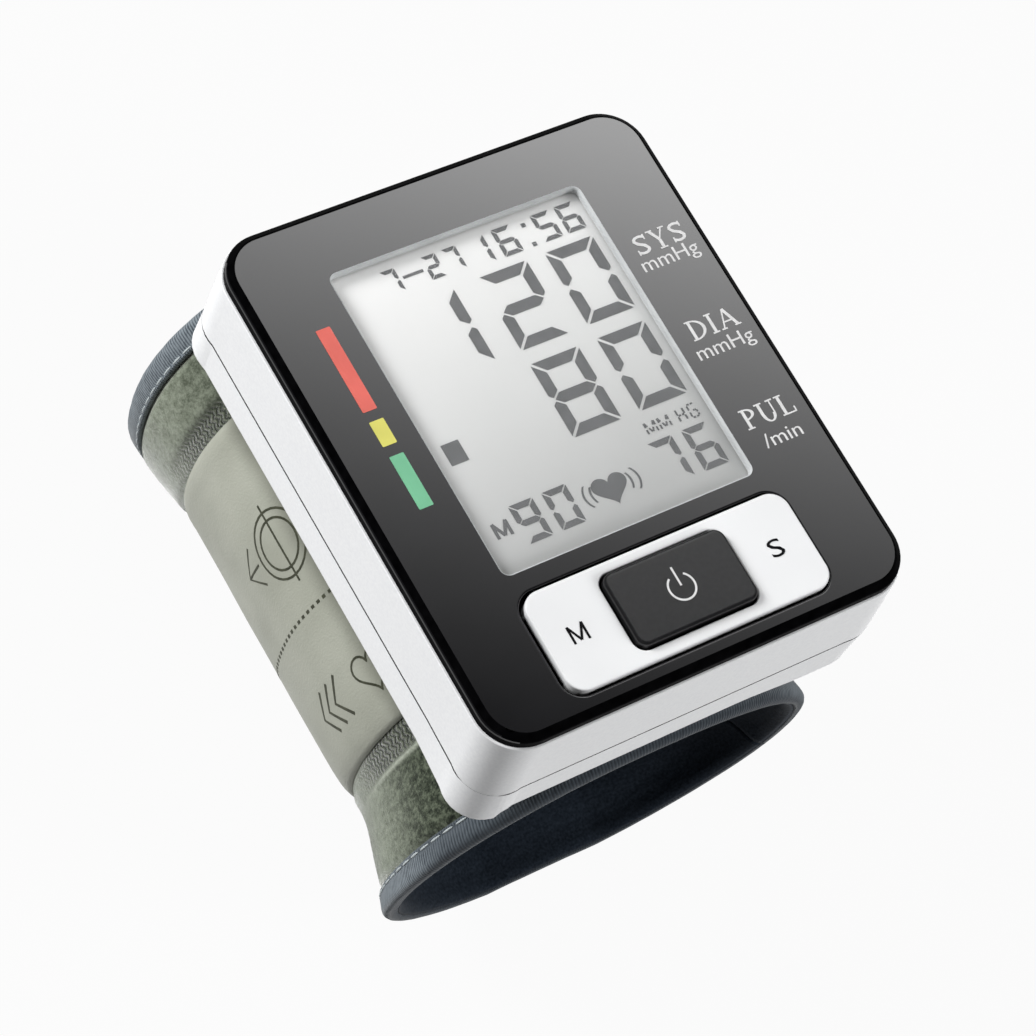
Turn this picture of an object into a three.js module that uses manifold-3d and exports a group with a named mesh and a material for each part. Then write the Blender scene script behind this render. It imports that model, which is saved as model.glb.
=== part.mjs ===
// A wrist blood pressure monitor: a white casing with a black face, carried on a padded cuff.
// Millimetres. +Z is up out of the face, +X is right along its reading, +Y is towards its top edge.
// X and Y are measured from the middle of the face, Z from the table that the cuff stands on.
// At the end the model moves along Y, so that the origin lies under the middle of its footprint.
import * as THREE from "three";
import { mergeVertices } from "three/addons/utils/BufferGeometryUtils.js";
import Module from "manifold-3d";

const wasm = await Module();
wasm.setup();

// Clearances
const fitGap = 0.3; // round a part that fits in another
const layerGap = 0.3; // between the layers of the cuff
const tapeGap = 0.2; // between the binding tape and what it binds
const seamGap = 0.3; // open groove between the two casings
const pressGap = 0.6; // from a key to the switch under it
const contactGap = 0.2; // from a cell or a spring to its contact

// Cuff loop
const cuffHeight = 51.2; // over the binding tape
const restFlat = 1; // depth of the flat that the cuff stands on
const roundness = 2.2; // exponent of the loop's section: 2 is an ellipse
const waistHalfWidth = 28.1;
const nearRimHalfWidth = 31.2;
const farRimHalfWidth = 29.9;
const nearRimTop = -36.4; // Y of the near rim, which slants
const nearRimBottom = -32.6;
const waistStart = -19;
const waistEnd = 25;
const farRim = 41.2;
const nearFlare = 1.5; // exponent of the widening towards a rim
const farFlare = 1.1;
const closureAngle = -11; // where the two ends of the cuff meet, in degrees from +X towards +Z
const endHalfGap = 1; // half the opening between those ends, in degrees
const angleStep = 9;

// Cuff layers, from the outside in
const tapeThickness = 0.6;
const tapeWidth = 3.8;
const tapeInnerWidth = 3.4;
const tapeFold = 0.8;
const tapeEdge = 0.4;
const fabricThickness = 1;
const stiffenerThickness = 0.8;
const bladderThickness = 1.6;
const liningThickness = 0.8;
const stiffenerMargin = 1.5; // from the ends of the waist
const bladderMargin = 3.5;
const stiffenerAngles = [18, 325];
const bladderAngles = [28, 305];

// What is sewn on the cuff
const labelThickness = 0.25;
const labelGap = 1.45; // from the saddle, across the cuff
const labelLowEnd = 226; // angle round the loop
const labelStart = -17.5;
const labelEnd = 23.5;
const hookThickness = 0.5;
const hookAngles = [-30, 6];
const hookMargin = 4;
const tabThickness = 1;
const tabAngles = [-44, 10]; // from its fold to its tip
const tabStart = -17;
const tabEnd = 23;

// Saddle between the cuff and the casing
const saddleCrown = 1.5;
const saddleHalfWidth = 20;
const saddleStart = -16;
const saddleEnd = 22;
const saddleSteps = 12;

// Casing
const faceWidth = 60;
const faceLength = 72;
const faceCorner = 5.8;
const faceProud = 2;
const skinThickness = 1.1;
const skirtWidth = 2.2;
const faceBevelWidth = 0.9;
const faceBevelHeight = 0.6;
const casingLip = 0.3; // casing beyond the face plate
const rimBevel = 0.5;
const seamFrontFlare = 0.7; // front wall beyond the face plate, at the seam
const footFrontFlare = 1; // and at the foot
const footSideTuck = 0.5;
const footBackTuck = 0.3;
const footRound = 2.4;
const wall = 1.8;
const floorThickness = 1.6;
const deckThickness = 1.6;
const lowerDepth = 6.2;
const lipThickness = 0.9;
const lipHeight = 1.2;
const reliefHeight = 1; // front foot cut back over the cuff
const reliefHalfWidth = 24.5;
const reliefDepth = 4;
const postInset = 6; // screw posts from the sides of the face
const postRadius = 3.3;
const bossRadius = 2.8;
const cornerSteps = 3;

// Screws
const screwRadius = 0.9;
const screwHeadRadius = 1.8;
const screwHeadHeight = 1.4;
const casingScrewLength = 10;
const saddleScrewLength = 4.6;
const saddleScrewY = 3;
const boardScrewLength = 2.6;
const boardScrewHead = 1;

// Display
const windowWidth = 35.8;
const windowLength = 43.4;
const windowCorner = 1;
const windowX = -0.4;
const windowGap = 3.05; // from the key plate
const lensThickness = 0.7;
const lcdOverlap = 0.6;
const lcdThickness = 1.4;
const holderWall = 0.7;
const holderLedge = 1;
const zebraWidth = 2;

// Keys
const keyMargin = 2.75; // from the front edge of the face
const keyWidth = 37.9;
const keyLength = 13.9;
const keyCorner = 2.6;
const keyProud = 0.4;
const keyDepth = 3;
const keyEdge = 0.5;
const keyFlange = 0.6;
const keyFlangeThickness = 0.75;
const keyFlangeHalfLength = 4;
const keyPostRadius = 1.2;
const pivotRadius = 1;
const pivotMargin = 0.2;
const powerWidth = 17.5;
const powerLength = 10.1;
const powerCorner = 1.4;
const powerProud = 1.2;
const powerEdge = 0.6;
const powerFlange = 0.85;
const powerFlangeThickness = 0.55;
const carrierThickness = 1.2;
const carrierMargin = 2.5;
const switchInset = 4.95; // from the ends of the key plate
const switchSize = 4.5;
const switchBody = 1;
const switchPlunger = 0.4;
const switchPlungerRadius = 1.1;

// Board
const boardThickness = 1.2;
const boardMargin = 1.6; // from the casing's inner wall
const boardCorner = 1.5;
const boardPostRadius = 1.8;
const leftPostY = 20;
const rightPostY = 12;
const keySpace = 2; // from the board to the deck above it

// Battery bay
const cellDiameter = 10.5;
const cellLength = 44.5;
const nubRadius = 1.9;
const nubLength = 0.8;
const cellHeadroom = 0.6;
const springLength = 3.4;
const springRadius = 2.6;
const springWire = 0.25; // radius
const springTurns = 3;
const contactThickness = 0.4;
const contactHalfWidth = 4;
const contactHalfHeight = 4;
const ribThickness = 1;
const ribRise = 2; // above the axis of the cells
const doorWall = 1; // sliding flange
const doorFlangeReach = 1.2; // flange behind the wall at each end
const doorMargin = 0.45; // door beyond the cells' contacts, at each end
const doorHeadroom = 0.3;

// Air system
const motorRadius = 5;
const motorLength = 14;
const motorGap = 0.2; // from the screw post
const pumpMargin = 1; // from the casing's inner wall
const headWidth = 11;
const headHeight = 10;
const headLength = 10;
const crankBore = 3.2;
const crankDepth = 4;
const crankHub = 1.2;
const crankOffset = 0.9;
const crankRadius = 1.6;
const crankWidth = 1.6;
const nozzleRadius = 1.2;
const nozzleLength = 2.6;
const hoseRadius = 1.9;
const hoseBore = 1.55;
const manifoldSize = 8;
const manifoldHeight = 7;
const manifoldOffset = 6; // from the side of the pump
const manifoldY = 8;
const valvePortOffset = 2.5;
const nippleRadius = 2;
const nippleReach = 0.9; // into the bladder
const valveWidth = 9;
const valveLength = 13;
const valveHeight = 8;
const valveMargin = 5.5; // from the casing's inner wall
const valveInset = 9.5; // from the middle of the screw post
const plungerRadius = 1.3;
const plungerLength = 5;
const plungerTravel = 0.6;
const sensorSize = 7;
const sensorHeight = 3.2;
const sensorMargin = 1.5; // from the wall of the battery bay
const sensorY = -10.5;

// Depths below the outside of the binding tape
const fabricInset = tapeThickness + tapeGap;
const fabricInner = fabricInset + fabricThickness;
const stiffenerInset = fabricInner + layerGap;
const bladderInset = stiffenerInset + stiffenerThickness + layerGap;
const liningInset = bladderInset + bladderThickness + layerGap;
const rimLiningInset = fabricInner + layerGap;
const rimThickness = rimLiningInset + liningThickness + fabricInset;

// Heights above the table
const loopHalfHeight = (cuffHeight + restFlat) / 2;
const loopCentre = cuffHeight - loopHalfHeight;
const casingBottom = cuffHeight - fabricInset + layerGap + saddleCrown;
const floorTop = casingBottom + floorThickness;
const seam = casingBottom + lowerDepth;
const cellAxis = floorTop + fitGap + cellDiameter / 2;
const boardBottom = cellAxis + cellDiameter / 2 + cellHeadroom;
const boardTop = boardBottom + boardThickness;
const deckBottom = boardTop + keySpace;
const rimTop = deckBottom + deckThickness;
const faceTop = rimTop + faceProud;
const skinBottom = faceTop - skinThickness;
const plateauTop = skinBottom - fitGap;
const lcdBottom = plateauTop - lcdThickness;
const switchTop = boardTop + switchBody + switchPlunger;
const carrierTop = boardTop + carrierThickness;
const pivotHeight = carrierTop + fitGap + pivotRadius;
const keyTop = faceTop + keyProud;
const keyBottom = keyTop - keyDepth;
const powerTop = faceTop + powerProud;
const powerBottom = switchTop + pressGap;
const pumpAxis = floorTop + fitGap + Math.max(motorRadius, headHeight / 2);
const portHeight = pumpAxis;

// Places across the casing
const halfWidth = faceWidth / 2;
const halfLength = faceLength / 2;
const postX = halfWidth - postInset;
const postY = halfLength - postInset;
const keyY = keyMargin + keyLength / 2 - halfLength;
const windowY = keyY + keyLength / 2 + windowGap + windowLength / 2;
const motorStart = postRadius + motorGap - postY;
const valveY = postY - valveInset;
const cavityHalfWidth = halfWidth - wall;
const cavityHalfLength = halfLength - wall;
const cavityCorner = faceCorner - wall;
const lipInset = fitGap + lipThickness;
const flangeOuter = cavityHalfWidth - fitGap;
const flangeInner = flangeOuter - doorWall;
const outerCellX = flangeInner - fitGap - cellDiameter / 2;
const innerCellX = outerCellX - fitGap - cellDiameter;
const ribX = innerCellX - cellDiameter / 2 - fitGap - ribThickness;
const bayHalfLength = (cellLength + springLength) / 2 + contactThickness + contactGap * 1.5;
const doorHalfLength = bayHalfLength - doorMargin;
const doorTop = cellAxis + cellDiameter / 2 + doorHeadroom;
const saddleScrewX = (outerCellX + innerCellX) / 2;
const labelTopShare = ((saddleHalfWidth + labelGap) / waistHalfWidth) ** (roundness / 2);
const labelAngles = [180 - THREE.MathUtils.radToDeg(Math.acos(labelTopShare)), labelLowEnd];
const holderGrow = lcdOverlap + fitGap + holderWall;
const holderSide = windowWidth / 2 + Math.abs(windowX) + holderGrow;
const boardPostX = (holderSide + cavityHalfWidth - boardMargin) / 2;
const innerWall = cavityHalfWidth - lipInset;
const pumpX = pumpMargin + headWidth / 2 - innerWall;
const valveX = valveMargin + valveWidth / 2 - innerWall;
const manifoldX = pumpX + headWidth / 2 + manifoldOffset;
const sensorX = ribX - sensorMargin - sensorSize / 2;
const switchPitch = keyWidth / 2 - switchInset;
const apertureHalfLength = powerLength / 2 + fitGap;
const pivotOffset = (apertureHalfLength + keyLength / 2) / 2;
const pivotHalfLength = (keyLength / 2 - apertureHalfLength) / 2 - pivotMargin;

// Materials
const finish = (color, roughness, metalness = 0) =>
  new THREE.MeshStandardMaterial({ color, roughness, metalness });
const blackGloss = () => finish(0x161617, 0.15);
const whiteSatin = () => finish(0xe6e6e6, 0.35);
const clear = () => finish(0xdfe4e4, 0.05);
const glassGrey = () => finish(0xc9ccca, 0.2);
const darkPlastic = () => finish(0x2b2b2d, 0.5);
const rubber = () => finish(0x4a4a4c, 0.8);
const boardGreen = () => finish(0x1f5a38, 0.5);
const steel = () => finish(0xb5b7ba, 0.3, 1);
const silicone = () => finish(0xd9d6cc, 0.6);
const cellCase = () => finish(0x3f5f86, 0.35, 0.4);
const fabric = (color) => finish(color, 0.95);

// Solids
function solid(geometry) {
  const bare = geometry.index ? geometry.toNonIndexed() : geometry.clone();
  bare.deleteAttribute("normal");
  bare.deleteAttribute("uv");
  const merged = mergeVertices(bare, 1e-4);
  const corners = merged.index.array;
  const triVerts = [];
  for (let i = 0; i < corners.length; i += 3) {
    const [a, b, c] = corners.slice(i, i + 3);
    if (a !== b && b !== c && c !== a) triVerts.push(a, b, c);
  }
  return new wasm.Manifold(
    new wasm.Mesh({
      numProp: 3,
      vertProperties: merged.attributes.position.array,
      triVerts: new Uint32Array(triVerts),
    }),
  );
}

function joined(first, ...others) {
  return others.reduce((whole, other) => whole.add(other), first);
}

function cut(first, ...others) {
  return others.reduce((rest, other) => rest.subtract(other), first);
}

// A box from its low to its high limit on each axis.
function block([x0, x1], [y0, y1], [z0, z1]) {
  const box = new THREE.BoxGeometry(x1 - x0, y1 - y0, z1 - z0);
  return solid(box.translate((x0 + x1) / 2, (y0 + y1) / 2, (z0 + z1) / 2));
}

// A cylinder between two points.
function rod(start, end, radius, sides = 16) {
  const from = new THREE.Vector3(...start);
  const along = new THREE.Vector3(...end).sub(from);
  const length = along.length();
  const turn = new THREE.Quaternion().setFromUnitVectors(
    new THREE.Vector3(0, 1, 0),
    along.divideScalar(length),
  );
  const cylinder = new THREE.CylinderGeometry(radius, radius, length, sides);
  cylinder.translate(0, length / 2, 0).applyQuaternion(turn);
  return solid(cylinder.translate(from.x, from.y, from.z));
}

function upright(x, y, bottom, top, radius, sides = 16) {
  return rod([x, y, bottom], [x, y, top], radius, sides);
}

// A round piece turned about Z, from its profile of radius and height.
function turned(x, y, profile, sides = 16) {
  const points = profile.map(([radius, height]) => new THREE.Vector2(radius, height));
  const lathe = new THREE.LatheGeometry(points, sides).rotateX(Math.PI / 2);
  return solid(lathe.translate(x, y, 0));
}

// A rectangle with rounded corners, centred on an X and running from a low to a high Y.
function roundedShape(centreX, half, low, high, radius) {
  const shape = new THREE.Shape();
  const right = centreX + half - radius;
  const left = centreX - half + radius;
  shape.absarc(right, low + radius, radius, -Math.PI / 2, 0);
  shape.absarc(right, high - radius, radius, 0, Math.PI / 2);
  shape.absarc(left, high - radius, radius, Math.PI / 2, Math.PI);
  shape.absarc(left, low + radius, radius, Math.PI, Math.PI * 1.5);
  return shape;
}

function slab(shape, bottom, top) {
  const settings = { depth: top - bottom, bevelEnabled: false, curveSegments: cornerSteps };
  return solid(new THREE.ExtrudeGeometry(shape, settings).translate(0, 0, bottom));
}

// A closed skin over rings of points, with the flat outlines that cap its first and last ring.
function loft(rings, firstOutline, lastOutline) {
  const count = rings[0].length;
  const last = (rings.length - 1) * count;
  const corners = [];
  for (let start = 0; start < last; start += count) {
    for (let i = 0; i < count; i++) {
      const a = start + i;
      const b = start + ((i + 1) % count);
      corners.push(a, b, b + count, a, b + count, a + count);
    }
  }
  for (const [a, b, c] of THREE.ShapeUtils.triangulateShape(firstOutline, [])) {
    corners.push(a, c, b);
  }
  for (const [a, b, c] of THREE.ShapeUtils.triangulateShape(lastOutline, [])) {
    corners.push(last + a, last + b, last + c);
  }
  const geometry = new THREE.BufferGeometry().setFromPoints(rings.flat());
  return solid(geometry.setIndex(corners));
}

// A solid whose rounded outline changes with height: levels are [height, shape] pairs.
function tower(levels) {
  const outlines = levels.map(([, shape]) => shape.getPoints(cornerSteps).slice(0, -1));
  const rings = levels.map(([height], i) =>
    outlines[i].map((point) => new THREE.Vector3(point.x, point.y, height)),
  );
  return loft(rings, outlines[0], outlines.at(-1));
}

// Cuff loop: points of its surface at an angle, a Y and a depth below the tape's outside
function rounded(value) {
  return Math.sign(value) * Math.abs(value) ** (2 / roundness);
}

function riseAt(angle) {
  return rounded(Math.sin(THREE.MathUtils.degToRad(angle)));
}

function nearRimAt(angle) {
  return THREE.MathUtils.mapLinear(riseAt(angle), -1, 1, nearRimBottom, nearRimTop);
}

function halfWidthAt(angle, y) {
  if (y < waistStart) {
    const share = (waistStart - y) / (waistStart - nearRimAt(angle));
    return waistHalfWidth + (nearRimHalfWidth - waistHalfWidth) * share ** nearFlare;
  }
  const share = Math.max(0, y - waistEnd) / (farRim - waistEnd);
  return waistHalfWidth + (farRimHalfWidth - waistHalfWidth) * share ** farFlare;
}

function loopPoint(angle, y, inset) {
  const across = rounded(Math.cos(THREE.MathUtils.degToRad(angle)));
  const x = (halfWidthAt(angle, y) - inset) * across;
  const z = loopCentre + (loopHalfHeight - inset) * riseAt(angle);
  return new THREE.Vector3(x, y, Math.max(z, inset));
}

// Height of the top of the loop's waist at an X.
function loopTopAt(x, inset) {
  const share = (Math.abs(x) / (waistHalfWidth - inset)) ** roundness;
  return loopCentre + (loopHalfHeight - inset) * (1 - share) ** (1 / roundness);
}

function anglesBetween([start, end]) {
  const angles = [start];
  const first = Math.ceil(start / angleStep) * angleStep + angleStep / 2;
  for (let angle = first; angle < end - angleStep / 4; angle += angleStep) {
    angles.push(angle);
  }
  angles.push(end);
  return angles;
}

// A band swept round the loop. Its section is a list of [y, inset] pairs, outer face first,
// running from the near to the far side and back.
function band(angles, section) {
  const steps = anglesBetween(angles);
  const rings = steps.map((angle) =>
    section(angle).map(([y, inset]) => loopPoint(angle, y, inset)),
  );
  const outline = (ring) =>
    ring.map((point) => new THREE.Vector2(Math.hypot(point.x, point.z - loopCentre), point.y));
  return loft(rings, outline(rings[0]), outline(rings.at(-1)));
}

// A plain strip of the waist between two depths.
function strip(angles, start, end, outer, inner) {
  return band(angles, () => [
    [start, outer],
    [end, outer],
    [end, inner],
    [start, inner],
  ]);
}

const cuffAngles = [closureAngle + endHalfGap, closureAngle + 360 - endHalfGap];
const bindMiddle = tapeWidth / 2;
const bindStart = tapeFold + fitGap;

// Stations of a bound layer along Y, at an angle.
function stationsAt(angle, nearBend, farBend) {
  const near = nearRimAt(angle);
  return [
    near + bindStart,
    near + bindMiddle,
    near + nearBend,
    (near + nearBend + waistStart) / 2,
    waistStart,
    waistEnd,
    (farRim - farBend + waistEnd) / 2,
    farRim - farBend,
    farRim - bindMiddle,
    farRim - bindStart,
  ];
}

function layer(section) {
  return (angle) => {
    const { stations, insets, thickness } = section(angle);
    const outer = stations.map((y, i) => [y, insets[i]]);
    const inner = stations.map((y, i) => [y, insets[i] + thickness]);
    return [...outer, ...inner.reverse()];
  };
}

const fabricSection = layer((angle) => {
  const stations = stationsAt(angle, tapeWidth, tapeWidth);
  return { stations, insets: stations.map(() => fabricInset), thickness: fabricThickness };
});

const liningSection = layer((angle) => {
  const rim = rimLiningInset;
  const slope = (rim + liningInset) / 2;
  const insets = [rim, rim, rim, slope, liningInset, liningInset, slope, rim, rim, rim];
  const stations = stationsAt(angle, tapeInnerWidth, tapeInnerWidth);
  return { stations, insets, thickness: liningThickness };
});

// Binding tape folded over a rim; away is +1 where the cuff lies on the +Y side of that rim.
function tapeSection(rimAt, away) {
  const innerFace = rimThickness - tapeThickness;
  return (angle) => {
    const rim = rimAt(angle);
    const at = (distance, inset) => [rim + away * distance, inset];
    const section = [
      at(0, tapeEdge),
      at(tapeEdge, 0),
      at(bindMiddle, 0),
      at(tapeWidth, 0),
      at(tapeWidth, tapeThickness),
      at(bindMiddle, tapeThickness),
      at(tapeFold, tapeThickness),
      at(tapeFold, innerFace),
      at(bindMiddle, innerFace),
      at(tapeInnerWidth, innerFace),
      at(tapeInnerWidth, rimThickness),
      at(bindMiddle, rimThickness),
      at(tapeEdge, rimThickness),
      at(0, rimThickness - tapeEdge),
    ];
    return away > 0 ? section : section.reverse();
  };
}

// Casing: its outline grows and tucks in with height
function casingShape(side, front, back) {
  const corner = faceCorner + Math.min(side, 0) + casingLip;
  return roundedShape(0, halfWidth + side, -halfLength - front, halfLength + back, corner);
}

const rimLevels = [
  [rimTop - rimBevel, casingShape(casingLip, casingLip, casingLip)],
  [rimTop, casingShape(casingLip - rimBevel / 2, casingLip - rimBevel / 2, casingLip - rimBevel / 2)],
];
const seamShape = casingShape(0, seamFrontFlare, 0);
const footLevels = [90, 60, 30, 0].map((angle) => {
  const turn = THREE.MathUtils.degToRad(angle);
  const tuck = footRound * (1 - Math.cos(turn));
  const height = casingBottom + footRound * (1 - Math.sin(turn));
  return [height, casingShape(-footSideTuck - tuck, footFrontFlare - tuck, -footBackTuck - tuck)];
});

function postsAt(make) {
  const places = [
    [-postX, -postY],
    [postX, -postY],
    [postX, postY],
    [-postX, postY],
  ];
  return places.map(([x, y]) => make(x, y));
}

const boardPosts = [
  [-boardPostX, leftPostY],
  [-boardPostX, -leftPostY],
  [boardPostX, rightPostY],
  [boardPostX, -rightPostY],
];
const boardScrewPlaces = boardPosts.slice(0, 2);

// Rounded rectangle of the inside of the casing, drawn in by an inset.
function cavityShape(inset) {
  const half = cavityHalfWidth - inset;
  const reach = cavityHalfLength - inset;
  return roundedShape(0, half, -reach, reach, cavityCorner - inset);
}

function windowShape(grow, corner = windowCorner) {
  const reach = windowLength / 2 + grow;
  return roundedShape(windowX, windowWidth / 2 + grow, windowY - reach, windowY + reach, corner);
}

function keyShape(grow) {
  const reach = keyLength / 2 + grow;
  return roundedShape(0, keyWidth / 2 + grow, keyY - reach, keyY + reach, keyCorner + grow);
}

function powerShape(grow) {
  const reach = powerLength / 2 + grow;
  return roundedShape(0, powerWidth / 2 + grow, keyY - reach, keyY + reach, powerCorner + grow);
}

const over = 1; // how far a cutting solid runs past what it cuts

// Space that the battery door slides in: the gap in the wall and the groove behind it.
function doorSpace() {
  const reach = doorHalfLength + fitGap;
  const flangeReach = doorHalfLength + doorFlangeReach + fitGap;
  const heights = [casingBottom - over, doorTop + fitGap];
  return joined(
    block([flangeOuter - fitGap, faceWidth], [-reach, reach], heights),
    block([flangeInner - fitGap, flangeOuter + fitGap], [-flangeReach, flangeReach], heights),
  );
}

function upperCasing() {
  const shell = tower([[seam + seamGap / 2, seamShape], ...rimLevels]);
  const skirtInset = skirtWidth + fitGap;
  const plateau = roundedShape(
    0,
    halfWidth - skirtInset,
    skirtInset - halfLength,
    halfLength - skirtInset,
    faceCorner - skirtInset,
  );
  const keyReach = keyLength / 2 + fitGap;
  const keyHalf = keyWidth / 2 + keyFlange + fitGap;
  const hollow = cut(
    shell.add(slab(plateau, rimTop - over, plateauTop)),
    slab(cavityShape(0), seam - over, deckBottom),
    slab(windowShape(holderGrow + fitGap), deckBottom - over, faceTop),
    block([-keyHalf, keyHalf], [keyY - keyReach, keyY + keyReach], [deckBottom - over, faceTop]),
    doorSpace(),
  );
  const bosses = postsAt((x, y) => upright(x, y, seam + fitGap, deckBottom + over / 2, bossRadius));
  const posts = boardPosts.map(([x, y]) =>
    upright(x, y, boardTop, deckBottom + over / 2, boardPostRadius),
  );
  const pilot = screwRadius + fitGap / 2;
  const casingPilots = postsAt((x, y) =>
    upright(x, y, seam - over, casingBottom + casingScrewLength + over, pilot),
  );
  const boardPilots = boardScrewPlaces.map(([x, y]) =>
    upright(x, y, boardTop - over, boardBottom + boardScrewLength + fitGap / 2, pilot),
  );
  return cut(joined(hollow, ...bosses, ...posts), ...casingPilots, ...boardPilots);
}

function lowerCasing() {
  const shell = tower([...footLevels, [seam - seamGap / 2, seamShape]]);
  const lip = slab(cavityShape(fitGap), seam - over, seam + lipHeight);
  const tray = cut(shell.add(lip), slab(cavityShape(lipInset), floorTop, seam + lipHeight + over));
  const posts = postsAt((x, y) => upright(x, y, floorTop - over / 2, seam, postRadius));
  const ribTop = cellAxis + ribRise;
  const ribStart = floorTop - over / 2;
  const ribEnd = bayHalfLength + ribThickness;
  const ribFace = flangeInner;
  const ribs = joined(
    block([ribX, ribX + ribThickness], [-ribEnd, ribEnd], [ribStart, ribTop]),
    block([ribX, ribFace], [bayHalfLength, ribEnd], [ribStart, ribTop]),
    block([ribX, ribFace], [-ribEnd, -bayHalfLength], [ribStart, ribTop]),
  );
  const headSeat = casingBottom + screwHeadHeight + fitGap * 2;
  const screwHoles = postsAt((x, y) =>
    upright(x, y, casingBottom - over, seam + over, screwRadius + fitGap),
  );
  const headHoles = postsAt((x, y) =>
    upright(x, y, casingBottom - over, headSeat, screwHeadRadius + fitGap),
  );
  const saddleHoles = [-saddleScrewX, saddleScrewX].map((x) =>
    upright(x, saddleScrewY, casingBottom - over, floorTop + over, screwRadius + fitGap),
  );
  const front = -halfLength - footFrontFlare;
  const relief = block(
    [-reliefHalfWidth, reliefHalfWidth],
    [front - over, front + reliefDepth],
    [casingBottom - over, casingBottom + reliefHeight],
  );
  const airHole = upright(
    manifoldX,
    manifoldY,
    casingBottom - over,
    floorTop + over,
    nippleRadius + fitGap,
  );
  const bossRooms = postsAt((x, y) =>
    upright(x, y, seam, boardBottom, bossRadius + fitGap),
  );
  const holes = [...screwHoles, ...headHoles, ...saddleHoles, airHole, ...bossRooms];
  return cut(joined(tray, ...posts, ribs), ...holes, relief, doorSpace());
}

function batteryDoor() {
  const skin = tower([...footLevels, [seam, seamShape], ...rimLevels]);
  const panel = block(
    [flangeOuter - doorWall / 2, faceWidth],
    [-doorHalfLength, doorHalfLength],
    [casingBottom - over, doorTop],
  );
  const reach = doorHalfLength + doorFlangeReach;
  const flange = block([flangeInner, flangeOuter], [-reach, reach], [casingBottom + fitGap, doorTop]);
  return skin.intersect(panel).add(flange);
}

function facePlate() {
  const plate = tower([
    [rimTop, roundedShape(0, halfWidth, -halfLength, halfLength, faceCorner)],
    [faceTop - faceBevelHeight, roundedShape(0, halfWidth, -halfLength, halfLength, faceCorner)],
    [
      faceTop,
      roundedShape(
        0,
        halfWidth - faceBevelWidth,
        faceBevelWidth - halfLength,
        halfLength - faceBevelWidth,
        faceCorner - faceBevelWidth,
      ),
    ],
  ]);
  const recess = roundedShape(
    0,
    halfWidth - skirtWidth,
    skirtWidth - halfLength,
    halfLength - skirtWidth,
    faceCorner - skirtWidth,
  );
  return cut(
    plate,
    slab(recess, rimTop - over, skinBottom),
    slab(windowShape(0), rimTop, faceTop + over),
    slab(keyShape(fitGap), rimTop, faceTop + over),
  );
}

function lcdHolder() {
  const glassGrow = lcdOverlap + fitGap;
  return cut(
    slab(windowShape(holderGrow), boardTop, plateauTop),
    slab(windowShape(glassGrow), lcdBottom - fitGap, plateauTop + over),
    slab(windowShape(lcdOverlap - holderLedge), boardTop - over, plateauTop),
    ...postsAt((x, y) => upright(x, y, boardTop - over, plateauTop + over, bossRadius + fitGap)),
  );
}

// A contact strip between the board and the glass, at the side of the holder that away points to.
function zebraStrip(away) {
  const half = windowWidth / 2 + lcdOverlap - holderLedge - fitGap;
  const reach = windowLength / 2 + lcdOverlap - holderLedge - fitGap;
  const ends = [windowY + away * reach, windowY + away * (reach - zebraWidth)].sort((a, b) => a - b);
  return block([windowX - half, windowX + half], ends, [boardTop, lcdBottom - fitGap]);
}

function modeRocker() {
  const plate = tower([
    [keyBottom, keyShape(0)],
    [keyTop - keyEdge, keyShape(0)],
    [keyTop, keyShape(-keyEdge)],
  ]);
  const half = keyWidth / 2;
  const flangeLength = [keyY - keyFlangeHalfLength, keyY + keyFlangeHalfLength];
  const flange = block(
    [-half - keyFlange, half + keyFlange],
    flangeLength,
    [keyBottom, keyBottom + keyFlangeThickness],
  );
  const posts = [-switchPitch, switchPitch].map((x) =>
    upright(x, keyY, switchTop + pressGap, keyBottom + over, keyPostRadius),
  );
  const pivots = [-pivotOffset, pivotOffset].map((offset) => {
    const ends = [keyY + offset - pivotHalfLength, keyY + offset + pivotHalfLength];
    return joined(
      block([-pivotRadius, pivotRadius], ends, [pivotHeight, keyBottom + over]),
      rod([0, ends[0], pivotHeight], [0, ends[1], pivotHeight], pivotRadius),
    );
  });
  const aperture = slab(powerShape(fitGap), keyBottom - over, keyTop + over);
  return joined(cut(plate.add(flange), aperture), ...posts, ...pivots);
}

function powerButton() {
  const cap = tower([
    [powerBottom, powerShape(0)],
    [powerTop - powerEdge, powerShape(0)],
    [powerTop, powerShape(-powerEdge)],
  ]);
  const half = powerWidth / 2 + powerFlange;
  const reach = powerLength / 2 - powerCorner;
  const heights = [powerBottom, powerBottom + powerFlangeThickness];
  return cap.add(block([-half, half], [keyY - reach, keyY + reach], heights));
}

const switchPlaces = { switch_memory: -switchPitch, switch_power: 0, switch_set: switchPitch };

function keyCarrier() {
  const half = switchPitch + switchSize / 2 + carrierMargin;
  const reach = keyLength / 2;
  const window = switchSize / 2 + fitGap;
  const plate = block([-half, half], [keyY - reach, keyY + reach], [boardTop, carrierTop]);
  const windows = Object.values(switchPlaces).map((x) =>
    block([x - window, x + window], [keyY - window, keyY + window], [boardTop - over, carrierTop + over]),
  );
  const bosses = postsAt((x, y) =>
    upright(x, y, boardTop - over, carrierTop + over, bossRadius + fitGap),
  );
  return cut(plate, ...windows, ...bosses);
}

function pushSwitch(x) {
  const half = switchSize / 2;
  const bodyTop = boardTop + switchBody;
  return joined(
    block([x - half, x + half], [keyY - half, keyY + half], [boardTop, bodyTop]),
    upright(x, keyY, bodyTop - over / 2, switchTop, switchPlungerRadius, 12),
  );
}

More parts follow.
